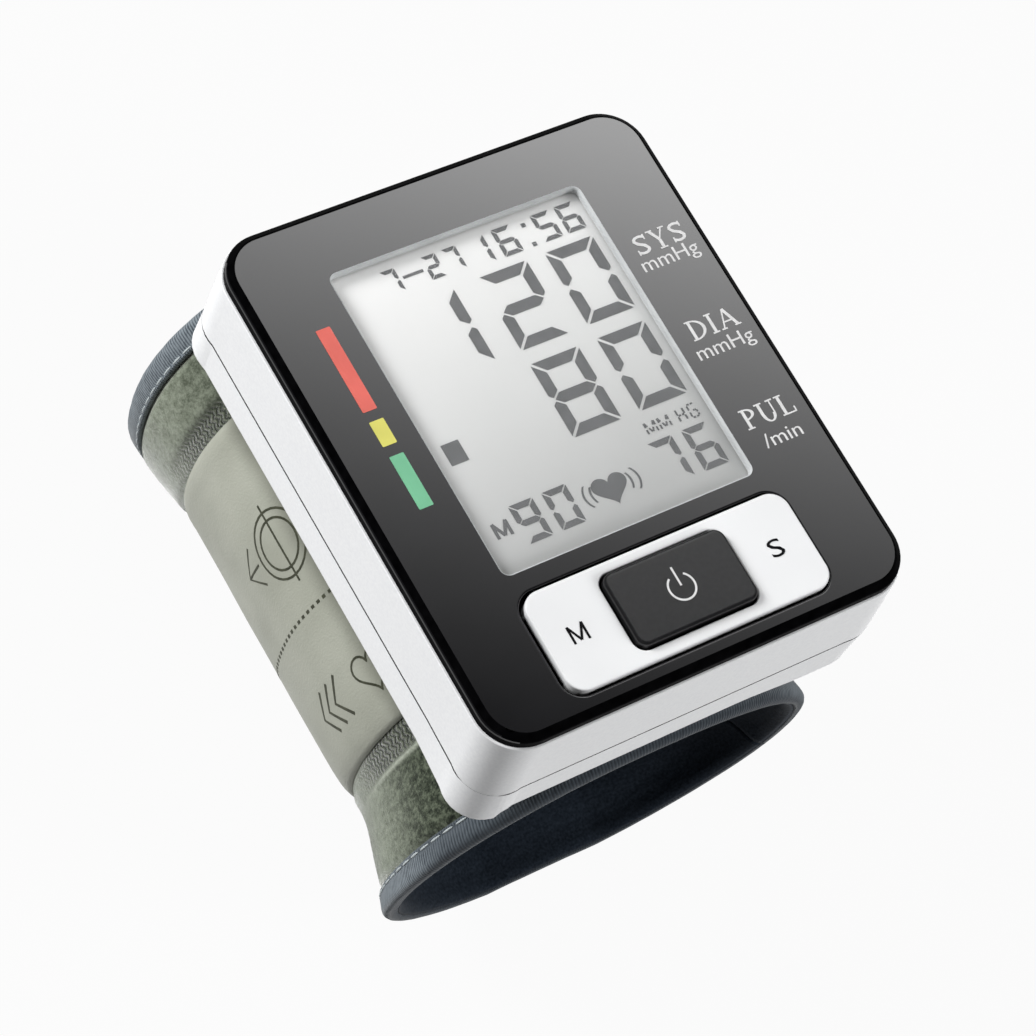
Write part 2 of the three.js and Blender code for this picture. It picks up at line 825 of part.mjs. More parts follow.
function mainBoard() {
  const half = cavityHalfWidth - boardMargin;
  const reach = cavityHalfLength - boardMargin;
  const outline = roundedShape(0, half, -reach, reach, boardCorner);
  const bosses = postsAt((x, y) =>
    upright(x, y, boardBottom - over, boardTop + over, bossRadius + fitGap),
  );
  const corners = postsAt((x, y) => {
    const across = [x, Math.sign(x) * faceWidth].sort((a, b) => a - b);
    const along = [y, Math.sign(y) * faceLength].sort((a, b) => a - b);
    return block(across, along, [boardBottom - over, boardTop + over]);
  });
  const holes = boardScrewPlaces.map(([x, y]) =>
    upright(x, y, boardBottom - over, boardTop + over, screwRadius + fitGap),
  );
  return cut(slab(outline, boardBottom, boardTop), ...bosses, ...corners, ...holes);
}

function boardScrew(x, y) {
  const head = boardBottom - boardScrewHead;
  return turned(x, y, [
    [0, head],
    [screwHeadRadius, head],
    [screwHeadRadius, boardBottom],
    [screwRadius, boardBottom],
    [screwRadius, boardBottom + boardScrewLength],
    [0, boardBottom + boardScrewLength],
  ]);
}

function casingScrew(x, y) {
  const head = casingBottom + fitGap;
  const seat = head + screwHeadHeight;
  return turned(x, y, [
    [0, head],
    [screwHeadRadius, head],
    [screwHeadRadius, seat],
    [screwRadius, seat],
    [screwRadius, casingBottom + casingScrewLength],
    [0, casingBottom + casingScrewLength],
  ]);
}

function saddleScrew(x) {
  const tip = floorTop - saddleScrewLength;
  return turned(x, saddleScrewY, [
    [0, tip],
    [screwRadius, tip],
    [screwRadius, floorTop],
    [screwHeadRadius, floorTop],
    [screwHeadRadius, floorTop + screwHeadHeight * 0.8],
    [0, floorTop + screwHeadHeight * 0.8],
  ]);
}

// A cell along Y, with its nub towards the end that away points to.
function cell(x, away) {
  const nubEnd = bayHalfLength - contactThickness - contactGap;
  const shoulder = nubEnd - nubLength;
  const can = rod(
    [x, away * shoulder, cellAxis],
    [x, away * (nubEnd - cellLength), cellAxis],
    cellDiameter / 2,
    24,
  );
  const nub = rod([x, away * nubEnd, cellAxis], [x, away * (shoulder - over), cellAxis], nubRadius, 12);
  return can.add(nub);
}

// The coil spring behind a cell's flat end.
class SpringPath extends THREE.Curve {
  constructor(x, start, end) {
    super();
    this.ends = { x, start, end };
  }

  getPoint(share, target = new THREE.Vector3()) {
    const { x, start, end } = this.ends;
    const turn = share * springTurns * Math.PI * 2;
    return target.set(
      x + springRadius * Math.cos(turn),
      start + (end - start) * share,
      cellAxis + springRadius * Math.sin(turn),
    );
  }
}

function batterySpring(x, away) {
  const contactFace = bayHalfLength - contactThickness - contactGap - springWire;
  const cellFace = contactFace - springLength + springWire * 2;
  const path = new SpringPath(x, away * cellFace, away * contactFace);
  const wire = new THREE.Shape().absarc(0, 0, springWire, 0, Math.PI * 2);
  const settings = { extrudePath: path, steps: springTurns * 8, curveSegments: 3 };
  return solid(new THREE.ExtrudeGeometry(wire, settings));
}

// A contact plate against the end rib that away points to.
function contactPlate(low, high, away) {
  const ends = [bayHalfLength - contactThickness, bayHalfLength].map((y) => away * y);
  ends.sort((a, b) => a - b);
  const heights = [cellAxis - contactHalfHeight, cellAxis + contactHalfHeight];
  return block([low - contactHalfWidth, high + contactHalfWidth], ends, heights);
}

const motorEnd = motorStart + motorLength;
const headStart = motorEnd + fitGap;
const headEnd = headStart + headLength;

function pumpMotor() {
  return rod([pumpX, motorStart, pumpAxis], [pumpX, motorEnd, pumpAxis], motorRadius, 20);
}

function pumpHead() {
  const body = block(
    [pumpX - headWidth / 2, pumpX + headWidth / 2],
    [headStart, headEnd],
    [pumpAxis - headHeight / 2, pumpAxis + headHeight / 2],
  );
  const nozzle = rod(
    [pumpX, headEnd - over, pumpAxis],
    [pumpX, headEnd + nozzleLength, pumpAxis],
    nozzleRadius,
    12,
  );
  const bore = rod(
    [pumpX, headStart - over, pumpAxis],
    [pumpX, headStart + crankDepth, pumpAxis],
    crankBore,
    20,
  );
  return cut(body.add(nozzle), bore);
}

function pumpEccentric() {
  const end = headStart + crankDepth - fitGap;
  const hub = rod([pumpX, headStart, pumpAxis], [pumpX, end, pumpAxis], crankHub, 12);
  const crank = rod(
    [pumpX + crankOffset, end - crankWidth, pumpAxis],
    [pumpX + crankOffset, end, pumpAxis],
    crankRadius,
  );
  return hub.add(crank);
}

function releaseValve() {
  const right = valveX + valveWidth / 2;
  const end = valveY + valveLength / 2;
  const body = block(
    [valveX - valveWidth / 2, right],
    [valveY - valveLength / 2, end],
    [floorTop, floorTop + valveHeight],
  );
  const nozzle = rod(
    [right - over, valveY, portHeight],
    [right + nozzleLength, valveY, portHeight],
    nozzleRadius,
    12,
  );
  const bore = rod(
    [valveX, end - plungerLength, portHeight],
    [valveX, end + over, portHeight],
    plungerRadius + fitGap,
  );
  return cut(body.add(nozzle), bore);
}

function valvePlunger() {
  const end = valveY + valveLength / 2;
  const start = end - plungerLength + plungerTravel + fitGap;
  return rod([valveX, start, portHeight], [valveX, end + fitGap, portHeight], plungerRadius, 12);
}

const portRight = manifoldX + valvePortOffset;
const nippleEnd = loopTopAt(manifoldX, bladderInset) - nippleReach;

function airManifold() {
  const half = manifoldSize / 2;
  const body = block(
    [manifoldX - half, manifoldX + half],
    [manifoldY - half, manifoldY + half],
    [floorTop, floorTop + manifoldHeight],
  );
  const left = manifoldX - half;
  const near = manifoldY - half;
  const far = manifoldY + half;
  return joined(
    body,
    rod([left + over, manifoldY, portHeight], [left - nozzleLength, manifoldY, portHeight], nozzleRadius, 12),
    rod([portRight, far - over, portHeight], [portRight, far + nozzleLength, portHeight], nozzleRadius, 12),
    rod([manifoldX, near + over, portHeight], [manifoldX, near - nozzleLength, portHeight], nozzleRadius, 12),
    upright(manifoldX, manifoldY, nippleEnd, floorTop + over, nippleRadius),
  );
}

function pressureSensor() {
  const half = sensorSize / 2;
  const bottom = boardBottom - sensorHeight;
  return joined(
    block(
      [sensorX - half, sensorX + half],
      [sensorY - half, sensorY + half],
      [bottom, boardBottom],
    ),
    upright(sensorX, sensorY, bottom - nozzleLength, bottom + over, nozzleRadius, 12),
  );
}

function hose(path, steps) {
  const ring = new THREE.Shape().absarc(0, 0, hoseRadius, 0, Math.PI * 2);
  ring.holes.push(new THREE.Path().absarc(0, 0, hoseBore, 0, Math.PI * 2));
  const settings = { extrudePath: path, steps, curveSegments: 4 };
  return solid(new THREE.ExtrudeGeometry(ring, settings));
}

// A hose that leaves one nozzle, turns one corner and goes over another.
function cornerHose(start, corner, end) {
  const from = new THREE.Vector3(...start);
  const turn = new THREE.Vector3(...corner);
  const to = new THREE.Vector3(...end);
  const bendIn = from.clone().lerp(turn, nozzleLength / from.distanceTo(turn));
  const bendOut = to.clone().lerp(turn, nozzleLength / to.distanceTo(turn));
  const path = new THREE.CurvePath();
  path.add(new THREE.LineCurve3(from, bendIn));
  path.add(new THREE.QuadraticBezierCurve3(bendIn, turn, bendOut));
  path.add(new THREE.LineCurve3(bendOut, to));
  return hose(path, 14);
}

function pumpHose() {
  return cornerHose(
    [pumpX, headEnd + fitGap, pumpAxis],
    [pumpX, manifoldY, portHeight],
    [manifoldX - manifoldSize / 2 - fitGap, manifoldY, portHeight],
  );
}

function valveHose() {
  return cornerHose(
    [valveX + valveWidth / 2 + fitGap, valveY, portHeight],
    [portRight, valveY, portHeight],
    [portRight, manifoldY + manifoldSize / 2 + fitGap, portHeight],
  );
}

function sensorHose() {
  const top = boardBottom - sensorHeight - fitGap;
  const turnHeight = floorTop + hoseRadius + fitGap;
  const end = manifoldY - manifoldSize / 2 - fitGap;
  const points = [
    [sensorX, sensorY, top],
    [sensorX, sensorY, top - nozzleLength],
    [(sensorX * 3 + manifoldX) / 4, (sensorY * 5 + end) / 6, turnHeight + hoseRadius / 2],
    [(sensorX + manifoldX) / 2, (sensorY * 2 + end) / 3, turnHeight + hoseRadius / 2],
    [manifoldX, end - nozzleLength - hoseRadius, portHeight],
    [manifoldX, end - nozzleLength / 2, portHeight],
    [manifoldX, end, portHeight],
  ];
  return hose(new THREE.CatmullRomCurve3(points.map((point) => new THREE.Vector3(...point))), 18);
}

function cuffSaddle() {
  const inset = fabricInset - layerGap;
  const profile = new THREE.Shape();
  profile.moveTo(saddleHalfWidth, casingBottom);
  profile.lineTo(-saddleHalfWidth, casingBottom);
  for (let i = 0; i <= saddleSteps; i++) {
    const x = saddleHalfWidth * ((2 * i) / saddleSteps - 1);
    profile.lineTo(x, loopTopAt(x, inset));
  }
  const settings = { depth: saddleEnd - saddleStart, bevelEnabled: false };
  const bar = new THREE.ExtrudeGeometry(profile, settings).rotateX(Math.PI / 2);
  const screwHoles = [-saddleScrewX, saddleScrewX].map((x) =>
    upright(x, saddleScrewY, floorTop - saddleScrewLength - fitGap, floorTop, screwRadius + fitGap / 2),
  );
  return cut(solid(bar.translate(0, saddleEnd, 0)), ...screwHoles, airWay());
}

// Clear way for the nipple, from the casing down to the bladder.
function airWay() {
  return upright(manifoldX, manifoldY, nippleEnd - over, casingBottom + over, nippleRadius + fitGap);
}

const hookInset = fabricInset - layerGap - hookThickness;
const tabInset = hookInset - layerGap - tabThickness;

// The assembly
const monitor = new THREE.Group();

function add(name, body, material) {
  const { vertProperties, triVerts } = body.getMesh();
  const geometry = new THREE.BufferGeometry();
  geometry.setAttribute("position", new THREE.BufferAttribute(vertProperties, 3));
  geometry.setIndex(new THREE.BufferAttribute(triVerts, 1));
  geometry.computeVertexNormals();
  const mesh = new THREE.Mesh(geometry, material);
  mesh.name = name;
  monitor.add(mesh);
}

add("face_plate", facePlate(), blackGloss());
add("display_window", slab(windowShape(-fitGap), skinBottom, skinBottom + lensThickness), clear());
add("lcd_panel", slab(windowShape(lcdOverlap), lcdBottom, plateauTop), glassGrey());
add("lcd_holder", lcdHolder(), darkPlastic());
add("zebra_strip_top", zebraStrip(1), rubber());
add("zebra_strip_bottom", zebraStrip(-1), rubber());
add("upper_casing", upperCasing(), whiteSatin());
add("lower_casing", lowerCasing(), whiteSatin());
add("battery_door", batteryDoor(), whiteSatin());
add("mode_rocker", modeRocker(), whiteSatin());
add("power_button", powerButton(), blackGloss());
add("key_carrier", keyCarrier(), darkPlastic());
for (const [name, x] of Object.entries(switchPlaces)) {
  add(name, pushSwitch(x), steel());
}
add("main_board", mainBoard(), boardGreen());
boardScrewPlaces.forEach(([x, y], i) => add(`board_screw_${i + 1}`, boardScrew(x, y), steel()));
add("pressure_sensor", pressureSensor(), darkPlastic());
add("pump_motor", pumpMotor(), steel());
add("pump_head", pumpHead(), darkPlastic());
add("pump_eccentric", pumpEccentric(), steel());
add("release_valve", releaseValve(), darkPlastic());
add("valve_plunger", valvePlunger(), steel());
add("air_manifold", airManifold(), whiteSatin());
add("air_hose_pump", pumpHose(), silicone());
add("air_hose_valve", valveHose(), silicone());
add("air_hose_sensor", sensorHose(), silicone());
add("battery_1", cell(outerCellX, 1), cellCase());
add("battery_2", cell(innerCellX, -1), cellCase());
add("battery_spring_1", batterySpring(outerCellX, -1), steel());
add("battery_spring_2", batterySpring(innerCellX, 1), steel());
add("bridge_contact", contactPlate(innerCellX, outerCellX, 1), steel());
add("negative_contact", contactPlate(outerCellX, outerCellX, -1), steel());
add("positive_contact", contactPlate(innerCellX, innerCellX, -1), steel());
postsAt((x, y) => [x, y]).forEach(([x, y], i) => add(`casing_screw_${i + 1}`, casingScrew(x, y), steel()));
add("cuff_saddle", cuffSaddle(), whiteSatin());
[-saddleScrewX, saddleScrewX].forEach((x, i) => add(`saddle_screw_${i + 1}`, saddleScrew(x), steel()));
add("cuff_outer", cut(band(cuffAngles, fabricSection), airWay()), fabric(0x78806f));
add(
  "cuff_stiffener",
  cut(
    strip(
      stiffenerAngles,
      waistStart + stiffenerMargin,
      waistEnd - stiffenerMargin,
      stiffenerInset,
      stiffenerInset + stiffenerThickness,
    ),
    airWay(),
  ),
  darkPlastic(),
);
add(
  "air_bladder",
  cut(
    strip(
      bladderAngles,
      waistStart + bladderMargin,
      waistEnd - bladderMargin,
      bladderInset,
      bladderInset + bladderThickness,
    ),
    airWay(),
  ),
  rubber(),
);
add("cuff_lining", band(cuffAngles, liningSection), fabric(0x14171d));
add("near_binding", band(cuffAngles, tapeSection(nearRimAt, 1)), fabric(0x5a6470));
add("far_binding", band(cuffAngles, tapeSection(() => farRim, -1)), fabric(0x5a6470));
add(
  "instruction_label",
  strip(
    labelAngles,
    labelStart,
    labelEnd,
    fabricInset - layerGap - labelThickness,
    fabricInset - layerGap,
  ),
  fabric(0xafb2a8),
);
add(
  "hook_patch",
  strip(
    hookAngles,
    tabStart + hookMargin,
    tabEnd - hookMargin,
    hookInset,
    hookInset + hookThickness,
  ),
  fabric(0x2a2d31),
);
add("closure_tab", strip(tabAngles, tabStart, tabEnd, tabInset, tabInset + tabThickness), fabric(0x78806f));

monitor.position.y = (halfLength + footFrontFlare - farRim) / 2;

export default monitor;
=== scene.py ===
import bisect
import math

import bmesh
import bpy
from mathutils import Matrix, Vector, noise
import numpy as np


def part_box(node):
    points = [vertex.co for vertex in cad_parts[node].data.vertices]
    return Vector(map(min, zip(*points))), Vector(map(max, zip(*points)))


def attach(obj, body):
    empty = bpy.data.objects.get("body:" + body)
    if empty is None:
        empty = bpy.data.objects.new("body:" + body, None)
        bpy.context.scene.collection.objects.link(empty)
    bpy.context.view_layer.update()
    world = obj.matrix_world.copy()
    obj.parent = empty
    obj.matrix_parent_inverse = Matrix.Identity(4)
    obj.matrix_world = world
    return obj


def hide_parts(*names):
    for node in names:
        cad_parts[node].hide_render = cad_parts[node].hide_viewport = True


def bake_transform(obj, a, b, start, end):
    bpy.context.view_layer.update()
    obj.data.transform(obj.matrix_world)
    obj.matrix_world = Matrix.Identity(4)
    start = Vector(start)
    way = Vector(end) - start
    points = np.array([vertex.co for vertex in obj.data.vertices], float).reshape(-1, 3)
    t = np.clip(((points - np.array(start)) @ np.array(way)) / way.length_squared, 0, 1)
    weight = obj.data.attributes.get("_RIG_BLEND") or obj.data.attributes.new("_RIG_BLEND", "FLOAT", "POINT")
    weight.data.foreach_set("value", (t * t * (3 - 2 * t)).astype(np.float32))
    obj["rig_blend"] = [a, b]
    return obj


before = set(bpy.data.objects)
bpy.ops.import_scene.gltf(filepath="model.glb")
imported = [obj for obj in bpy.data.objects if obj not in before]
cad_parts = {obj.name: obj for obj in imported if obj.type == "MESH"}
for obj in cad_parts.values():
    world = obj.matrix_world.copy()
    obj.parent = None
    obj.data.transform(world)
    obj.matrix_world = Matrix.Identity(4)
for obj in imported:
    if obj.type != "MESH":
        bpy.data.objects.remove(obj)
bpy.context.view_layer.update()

# Cuff lining: the face that lies on the wrist, a dark brushed nylon.
# It is sewn into both rims and lies slack over the air bag between them, in soft folds.
face_low, face_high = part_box("face_plate")
TO_FRAME = Matrix.Translation((0, (face_low.y + face_high.y) / 2, 0)) @ Matrix.Scale(0.001, 4)

LOOP_HEIGHT = 51.2
LOOP_FLAT = 1.0  # depth of the flat that the cuff stands on
LOOP_ROUNDNESS = 2.2
WAIST_HALF_WIDTH = 28.1
WAIST_START = -19.0
WAIST_END = 25.0
NEAR_RIM = -34.5
NEAR_SPREAD = 2.8  # the rim beyond the waist
NEAR_SLANT = 1.9  # the near rim leans out at the top
NEAR_SHIFT = -1.2  # and is drawn to the left
NEAR_TAPER = 0.12  # and narrows towards the table
FAR_RIM = 41.2
FAR_SPREAD = 1.7
FAR_SLANT = 0.9
WAIST_DIP = 0.8  # the cuff is drawn in most beside the label's near end
WAIST_DIP_Y = -20.0
WAIST_DIP_REACH = 5.0
CLOSURE = -11  # angle where the two ends of the cuff meet, from +X towards +Z
CUFF_ENDS = (CLOSURE + 0.1, CLOSURE + 359.9)
LOOP_HALF_HEIGHT = (LOOP_HEIGHT + LOOP_FLAT) / 2
LOOP_CENTRE = LOOP_HEIGHT - LOOP_HALF_HEIGHT
SPUN_RADIUS = 40.0  # of the plain ring that a band is before it is set on the loop


def rounded(value):
    return math.copysign(abs(value) ** (2 / LOOP_ROUNDNESS), value)


def loop_point(angle, y, depth):
    """A point of the cuff, from an angle round the loop, Y, and a depth below the outside of the tape."""
    across = rounded(math.cos(math.radians(angle)))
    rise = rounded(math.sin(math.radians(angle)))
    near = max(0, (WAIST_START - y) / (WAIST_START - NEAR_RIM))
    far = max(0, (y - WAIST_END) / (FAR_RIM - WAIST_END))
    across *= 1 - NEAR_TAPER * near * min(rise, 0) ** 2
    half_width = WAIST_HALF_WIDTH + NEAR_SPREAD * near**2 + FAR_SPREAD * far**1.1
    half_width -= WAIST_DIP * math.exp(-(((y - WAIST_DIP_Y) / WAIST_DIP_REACH) ** 2))
    x = (half_width - depth) * across + NEAR_SHIFT * near
    z = max(LOOP_CENTRE + (LOOP_HALF_HEIGHT - depth) * rise, depth, 0)
    return Vector((x, y + (FAR_SLANT * far - NEAR_SLANT * near) * rise, z))


arc = [0.0]
for half_degree in range(720):
    start, end = (loop_point(CLOSURE + (half_degree + step) / 2, 0, 0) for step in (0, 1))
    arc.append(arc[-1] + (end - start).length)


def arc_length(angle):
    """Millimetres round the outside of the loop from where its ends meet."""
    place = min(max((angle - CLOSURE) * 2, 0), 719.999)
    before = int(place)
    return arc[before] + (arc[before + 1] - arc[before]) * (place - before)


def angle_at(length):
    """The angle at which that many millimetres of the loop have been passed."""
    after = min(max(bisect.bisect_left(arc, length), 1), 720)
    share = (length - arc[after - 1]) / (arc[after] - arc[after - 1])
    return CLOSURE + (after - 1 + share) / 2


def sweep(section, ends, steps, relief=None):
    """A band of the cuff: a closed section of (Y, depth) points, spun between two angles and set on the loop.
    relief gives how far a point of the section is pushed in, from its angle, Y and depth."""
    bm = bmesh.new()
    ring = [bm.verts.new((SPUN_RADIUS - depth, y, 0)) for y, depth in section]
    outline = [bm.edges.new((ring[i - 1], ring[i])) for i in range(len(ring))]
    turn = math.radians(ends[1] - ends[0])
    bmesh.ops.spin(bm, geom=ring + outline, cent=(0, 0, 0), axis=(0, -1, 0), angle=turn, steps=steps)
    bmesh.ops.holes_fill(bm, edges=[edge for edge in bm.edges if edge.is_boundary])
    cloth = bm.loops.layers.uv.new("Cloth")
    sunk = bm.verts.layers.float.new("depth")
    for vert in bm.verts:
        turned = math.degrees(math.atan2(vert.co.z, vert.co.x))
        angle = ends[0] + (turned + 360 if turned < -0.05 else turned)
        y, depth = vert.co.y, SPUN_RADIUS - math.hypot(vert.co.x, vert.co.z)
        vert[sunk] = depth
        for corner in vert.link_loops:
            corner[cloth].uv = (arc_length(angle), y)
        if relief:
            depth += relief(angle, y, depth)
        vert.co = loop_point(angle, y, depth)
    bmesh.ops.recalc_face_normals(bm, faces=bm.faces)
    return bm


def soft_noise(*place):
    """Smooth noise from -1 to 1 at a place, the same each run."""
    return noise.noise(Vector(place))


def between(value, low, high):
    """0 below low, 1 above high, smooth in between."""
    share = min(max((value - low) / (high - low), 0), 1)
    return share * share * (3 - 2 * share)


def plateau(value, *steps):
    """1 between the inner two of four steps, 0 beyond the outer two, smooth in between."""
    return between(value, *steps[:2]) * (1 - between(value, *steps[2:]))


def spread(low, high, steps):
    """Even steps from low to high, both ends included."""
    return [low + (high - low) * step / steps for step in range(steps + 1)]


def plug(material, made, sockets):
    """Gives a shader node its plain values and its links."""
    for name, value in sockets.items():
        if isinstance(value, bpy.types.NodeSocket):
            material.node_tree.links.new(value, made.inputs[name])
        else:
            made.inputs[name].default_value = value
    return made


def node(material, kind, sockets, **settings):
    """A new shader node with its settings."""
    made = material.node_tree.nodes.new("ShaderNode" + kind)
    for name, value in settings.items():
        setattr(made, name, value)
    return plug(material, made, sockets)


def shade(red, green, blue):
    """A colour as seen on a screen, 0 to 255, as the linear light that Blender mixes."""
    return (*((level / 255) ** 2.2 for level in (red, green, blue)), 1)


def ramp(material, factor, *stops):
    """A colour that follows a factor through stops, each a place and a screen colour."""
    made = node(material, "ValToRGB", {"Fac": factor})
    band = made.color_ramp
    while len(band.elements) < len(stops):
        band.elements.new(0.5)
    for element, (place, *colour) in zip(band.elements, stops):
        element.position = place
        element.color = shade(*colour)
    return made.outputs["Color"]


def coat(material, sockets):
    plug(material, material.node_tree.nodes["Principled BSDF"], sockets)


def finish(name, sockets):
    """A material whose shader takes plain values and links."""
    material = bpy.data.materials.new(name)
    material.use_nodes = True
    coat(material, sockets)
    return material


def place_on(material, output="Object", scale=(1, 1, 1), turn=(0, 0, 0)):
    """The place on the piece that a pattern is drawn from."""
    source = node(material, "TexCoord", {}).outputs[output]
    return node(material, "Mapping", {"Vector": source, "Scale": scale, "Rotation": turn}).outputs["Vector"]


def cloud(material, vector, scale, detail=2.0, roughness=0.5):
    sockets = {"Vector": vector, "Scale": scale, "Detail": detail, "Roughness": roughness}
    return node(material, "TexNoise", sockets).outputs["Fac"]


def dent(material, height, distance, strength=1.0, under=None):
    """A bump of that height in metres, on top of another bump if there is one."""
    sockets = {"Height": height, "Distance": distance, "Strength": strength}
    if under:
        sockets["Normal"] = under
    return node(material, "Bump", sockets).outputs["Normal"]


def as_object(name, bm, material):
    mesh = bpy.data.meshes.new(name)
    bm.to_mesh(mesh)
    bm.free()
    mesh.materials.append(material)
    made = bpy.data.objects.new(name, mesh)
    bpy.context.scene.collection.objects.link(made)
    return made


def settle(name, bm, material, body, slot, *nodes, smooth=True, rigid=False):
    """The finished piece in the frame: its material, body and slot, and the solids it stands for."""
    if not smooth:
        bmesh.ops.recalc_face_normals(bm, faces=bm.faces)
    bmesh.ops.transform(bm, matrix=TO_FRAME, verts=bm.verts)
    for face in bm.faces:
        face.smooth = smooth
    piece = as_object(name, bm, material)
    if rigid:
        flat = piece.modifiers.new("flat faces", "WEIGHTED_NORMAL")
        flat.weight = 80
        flat.keep_sharp = True
    if body:
        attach(piece, body)
    if nodes:
        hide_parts(*nodes)
    return piece


RIMS = ((NEAR_RIM - 0.6, 1), (FAR_RIM + 0.1, -1))  # where the tapes fold, and the way to the cuff from there
FOLD_RADIUS = 1.5
TAPE_THICKNESS = 0.6
LINING_SEAM = 118  # degrees round the fold from the outer face, where the lining comes out of the tape
LINING_DEPTH = 5.1
LINING_LEAST_DEPTH = 2.2
LINING_THICKNESS = 0.8
LINING_ROWS = 76


def round_fold(rim, away, turn, radius):
    """A point of the rim's section, from the degrees round its fold."""
    turned = math.radians(turn)
    distance = FOLD_RADIUS - radius * math.sin(turned)
    return rim + away * distance, FOLD_RADIUS - radius * math.cos(turned)


def lining_depth(y):
    """The lining dips from the rims to the air bag."""
    near = between(y, RIMS[0][0] + FOLD_RADIUS, WAIST_START)
    far = 1 - between(y, WAIST_END, RIMS[1][0] - FOLD_RADIUS)
    return 2 * FOLD_RADIUS + (LINING_DEPTH + LINING_THICKNESS - 2 * FOLD_RADIUS) * min(near, far)


def lining_folds(angle, y, depth):
    """Soft folds along the loop, held flat where the rims are sewn."""
    if depth < lining_depth(y) - LINING_THICKNESS / 2:
        return 0
    held = plateau(y, NEAR_RIM + 2, NEAR_RIM + 9, FAR_RIM - 9, FAR_RIM - 2)
    run = arc_length(angle)
    slant = y + 0.16 * run + 4 * soft_noise(run * 0.03, y * 0.02, 5.0)
    long_fold = 1 - abs(soft_noise(run * 0.012, slant * 0.08, 3.0)) * 2.4
    small_fold = 1 - abs(soft_noise(run * 0.025, slant * 0.17, 8.0)) * 2.4
    return held * (2.0 * max(long_fold, 0) ** 2 + 0.5 * max(small_fold, 0) ** 2 - 0.3)


def lining_turn(rim):
    """The lining's edge, from inside the tape round the fold to its own face."""
    hidden = round_fold(*rim, LINING_SEAM, FOLD_RADIUS - TAPE_THICKNESS)
    return [hidden] + [round_fold(*rim, turn, FOLD_RADIUS) for turn in (LINING_SEAM, 135, 155)]


lining_ys = spread(*(rim + away * FOLD_RADIUS for rim, away in RIMS), LINING_ROWS)
lining_back = [(y, max(lining_depth(y) - LINING_THICKNESS, LINING_LEAST_DEPTH)) for y in lining_ys[::4]]
lining_face = [(y, lining_depth(y)) for y in reversed(lining_ys)]
lining_section = lining_back + lining_turn(RIMS[1]) + lining_face + lining_turn(RIMS[0])[::-1]

brushed_nylon = finish("brushed_nylon", {"Roughness": 0.6, "Sheen Weight": 0.04, "Specular IOR Level": 0.04})
nap = cloud(brushed_nylon, place_on(brushed_nylon), 2600, 3)
creases = cloud(brushed_nylon, place_on(brushed_nylon, "UV", scale=(0.12, 0.5, 1)), 1.0, 3)
crease_bump = dent(brushed_nylon, creases, 0.0003)
coat(brushed_nylon, {
    "Base Color": ramp(brushed_nylon, nap, (0.3, 28, 33, 39), (0.7, 44, 50, 58)),
    "Normal": dent(brushed_nylon, nap, 0.00004, under=crease_bump),
})

lining = sweep(lining_section, CUFF_ENDS, 240, lining_folds)
cuff_lining = settle("lining", lining, brushed_nylon, "monitor", "lining_fabric", "cuff_lining")

# Air bag and spring band: a flat bag of grey rubber sheet that fills with air, welded round its edge,
# and outside it a springy curved plastic band that keeps the cuff round. Both lie loose in the cuff.
BAG_YS = (-15.5, 21.5)
BAG_ANGLES = (28, 305)
BAG_EDGE = 2.5
BAG_DEPTHS = (3.2, 4.8)
BAG_WELD_DEPTHS = (3.75, 4.25)


def mottled(name, sockets, scale, detail, dark, light, relief=None, stretch=(1, 1, 1)):
    """A finish that wavers between two shades, as moulded, printed and drawn stuff does.
    relief is the height in metres, and the strength, of the same pattern as a bump."""
    material = finish(name, sockets)
    waver = cloud(material, place_on(material, scale=stretch), scale, detail)
    coat(material, {"Base Color": ramp(material, waver, (0.3, *dark), (0.7, *light))})
    if relief:
        coat(material, {"Normal": dent(material, waver, *relief)})
    return material


def dress(material, *names):
    """Gives solids of the frame, whose shape is right, their finish."""
    for name in names:
        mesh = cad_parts[name].data
        mesh.materials.clear()
        mesh.materials.append(material)


def bag_sheet(depth, weld_depth):
    low, high = BAG_YS
    return [(low, weld_depth), (low + BAG_EDGE, depth), (high - BAG_EDGE, depth), (high, weld_depth)]


bag_outer, bag_inner = (bag_sheet(*depths) for depths in zip(BAG_DEPTHS, BAG_WELD_DEPTHS))
bag_rubber = mottled("bag_rubber", {"Roughness": 0.6}, 300, 2, (70, 70, 72), (84, 84, 86), (0.0001,))
bag = sweep(bag_outer + bag_inner[::-1], BAG_ANGLES, 100)
settle("bag", bag, bag_rubber, "monitor", "dark_rubber", "air_bladder")

spring_plastic = mottled("spring_plastic", {"Roughness": 0.45}, 900, 2, (38, 38, 40), (48, 48, 50))
dress(spring_plastic, "cuff_stiffener")

# Outer fabric: a grey-green knit with a soft pile of loops that the hooks of the tab grip.
# It is cut in one strip, stands up full between tape and label, and is worn down to its dark knit
# in a narrow band at each end of the label. The tape's stitches draw it down along the rims.
FABRIC_DEPTH = 0.8
FABRIC_THICKNESS = 1.0
FABRIC_ROWS = 160
FABRIC_EDGE = 1.9  # from the rim, under the tape
TAPE_WIDTH = 3.6
LABEL_YS = (-17.0, 28.0)
LABEL_ANGLES = (138, 226)
BANDS = (3.2, 2.4)  # widths of the worn bands, at the label's near and far end
FLANK = (166, 192)  # the bands fade out over these angles
KNIT_ROW = 0.55
KNIT_PITCH = 0.9


def on_label(angle):
    """1 over the label's part of the loop, 0 well away from it."""
    start, end = LABEL_ANGLES
    return plateau(angle, start - 14, start - 3, end + 3, end + 14)


def pressed(angle, y):
    """1 under the label, where the pile lies flat."""
    low, high = LABEL_YS
    return on_label(angle) * plateau(y, low - 1.5, low + 0.5, high - 0.5, high + 1.5)


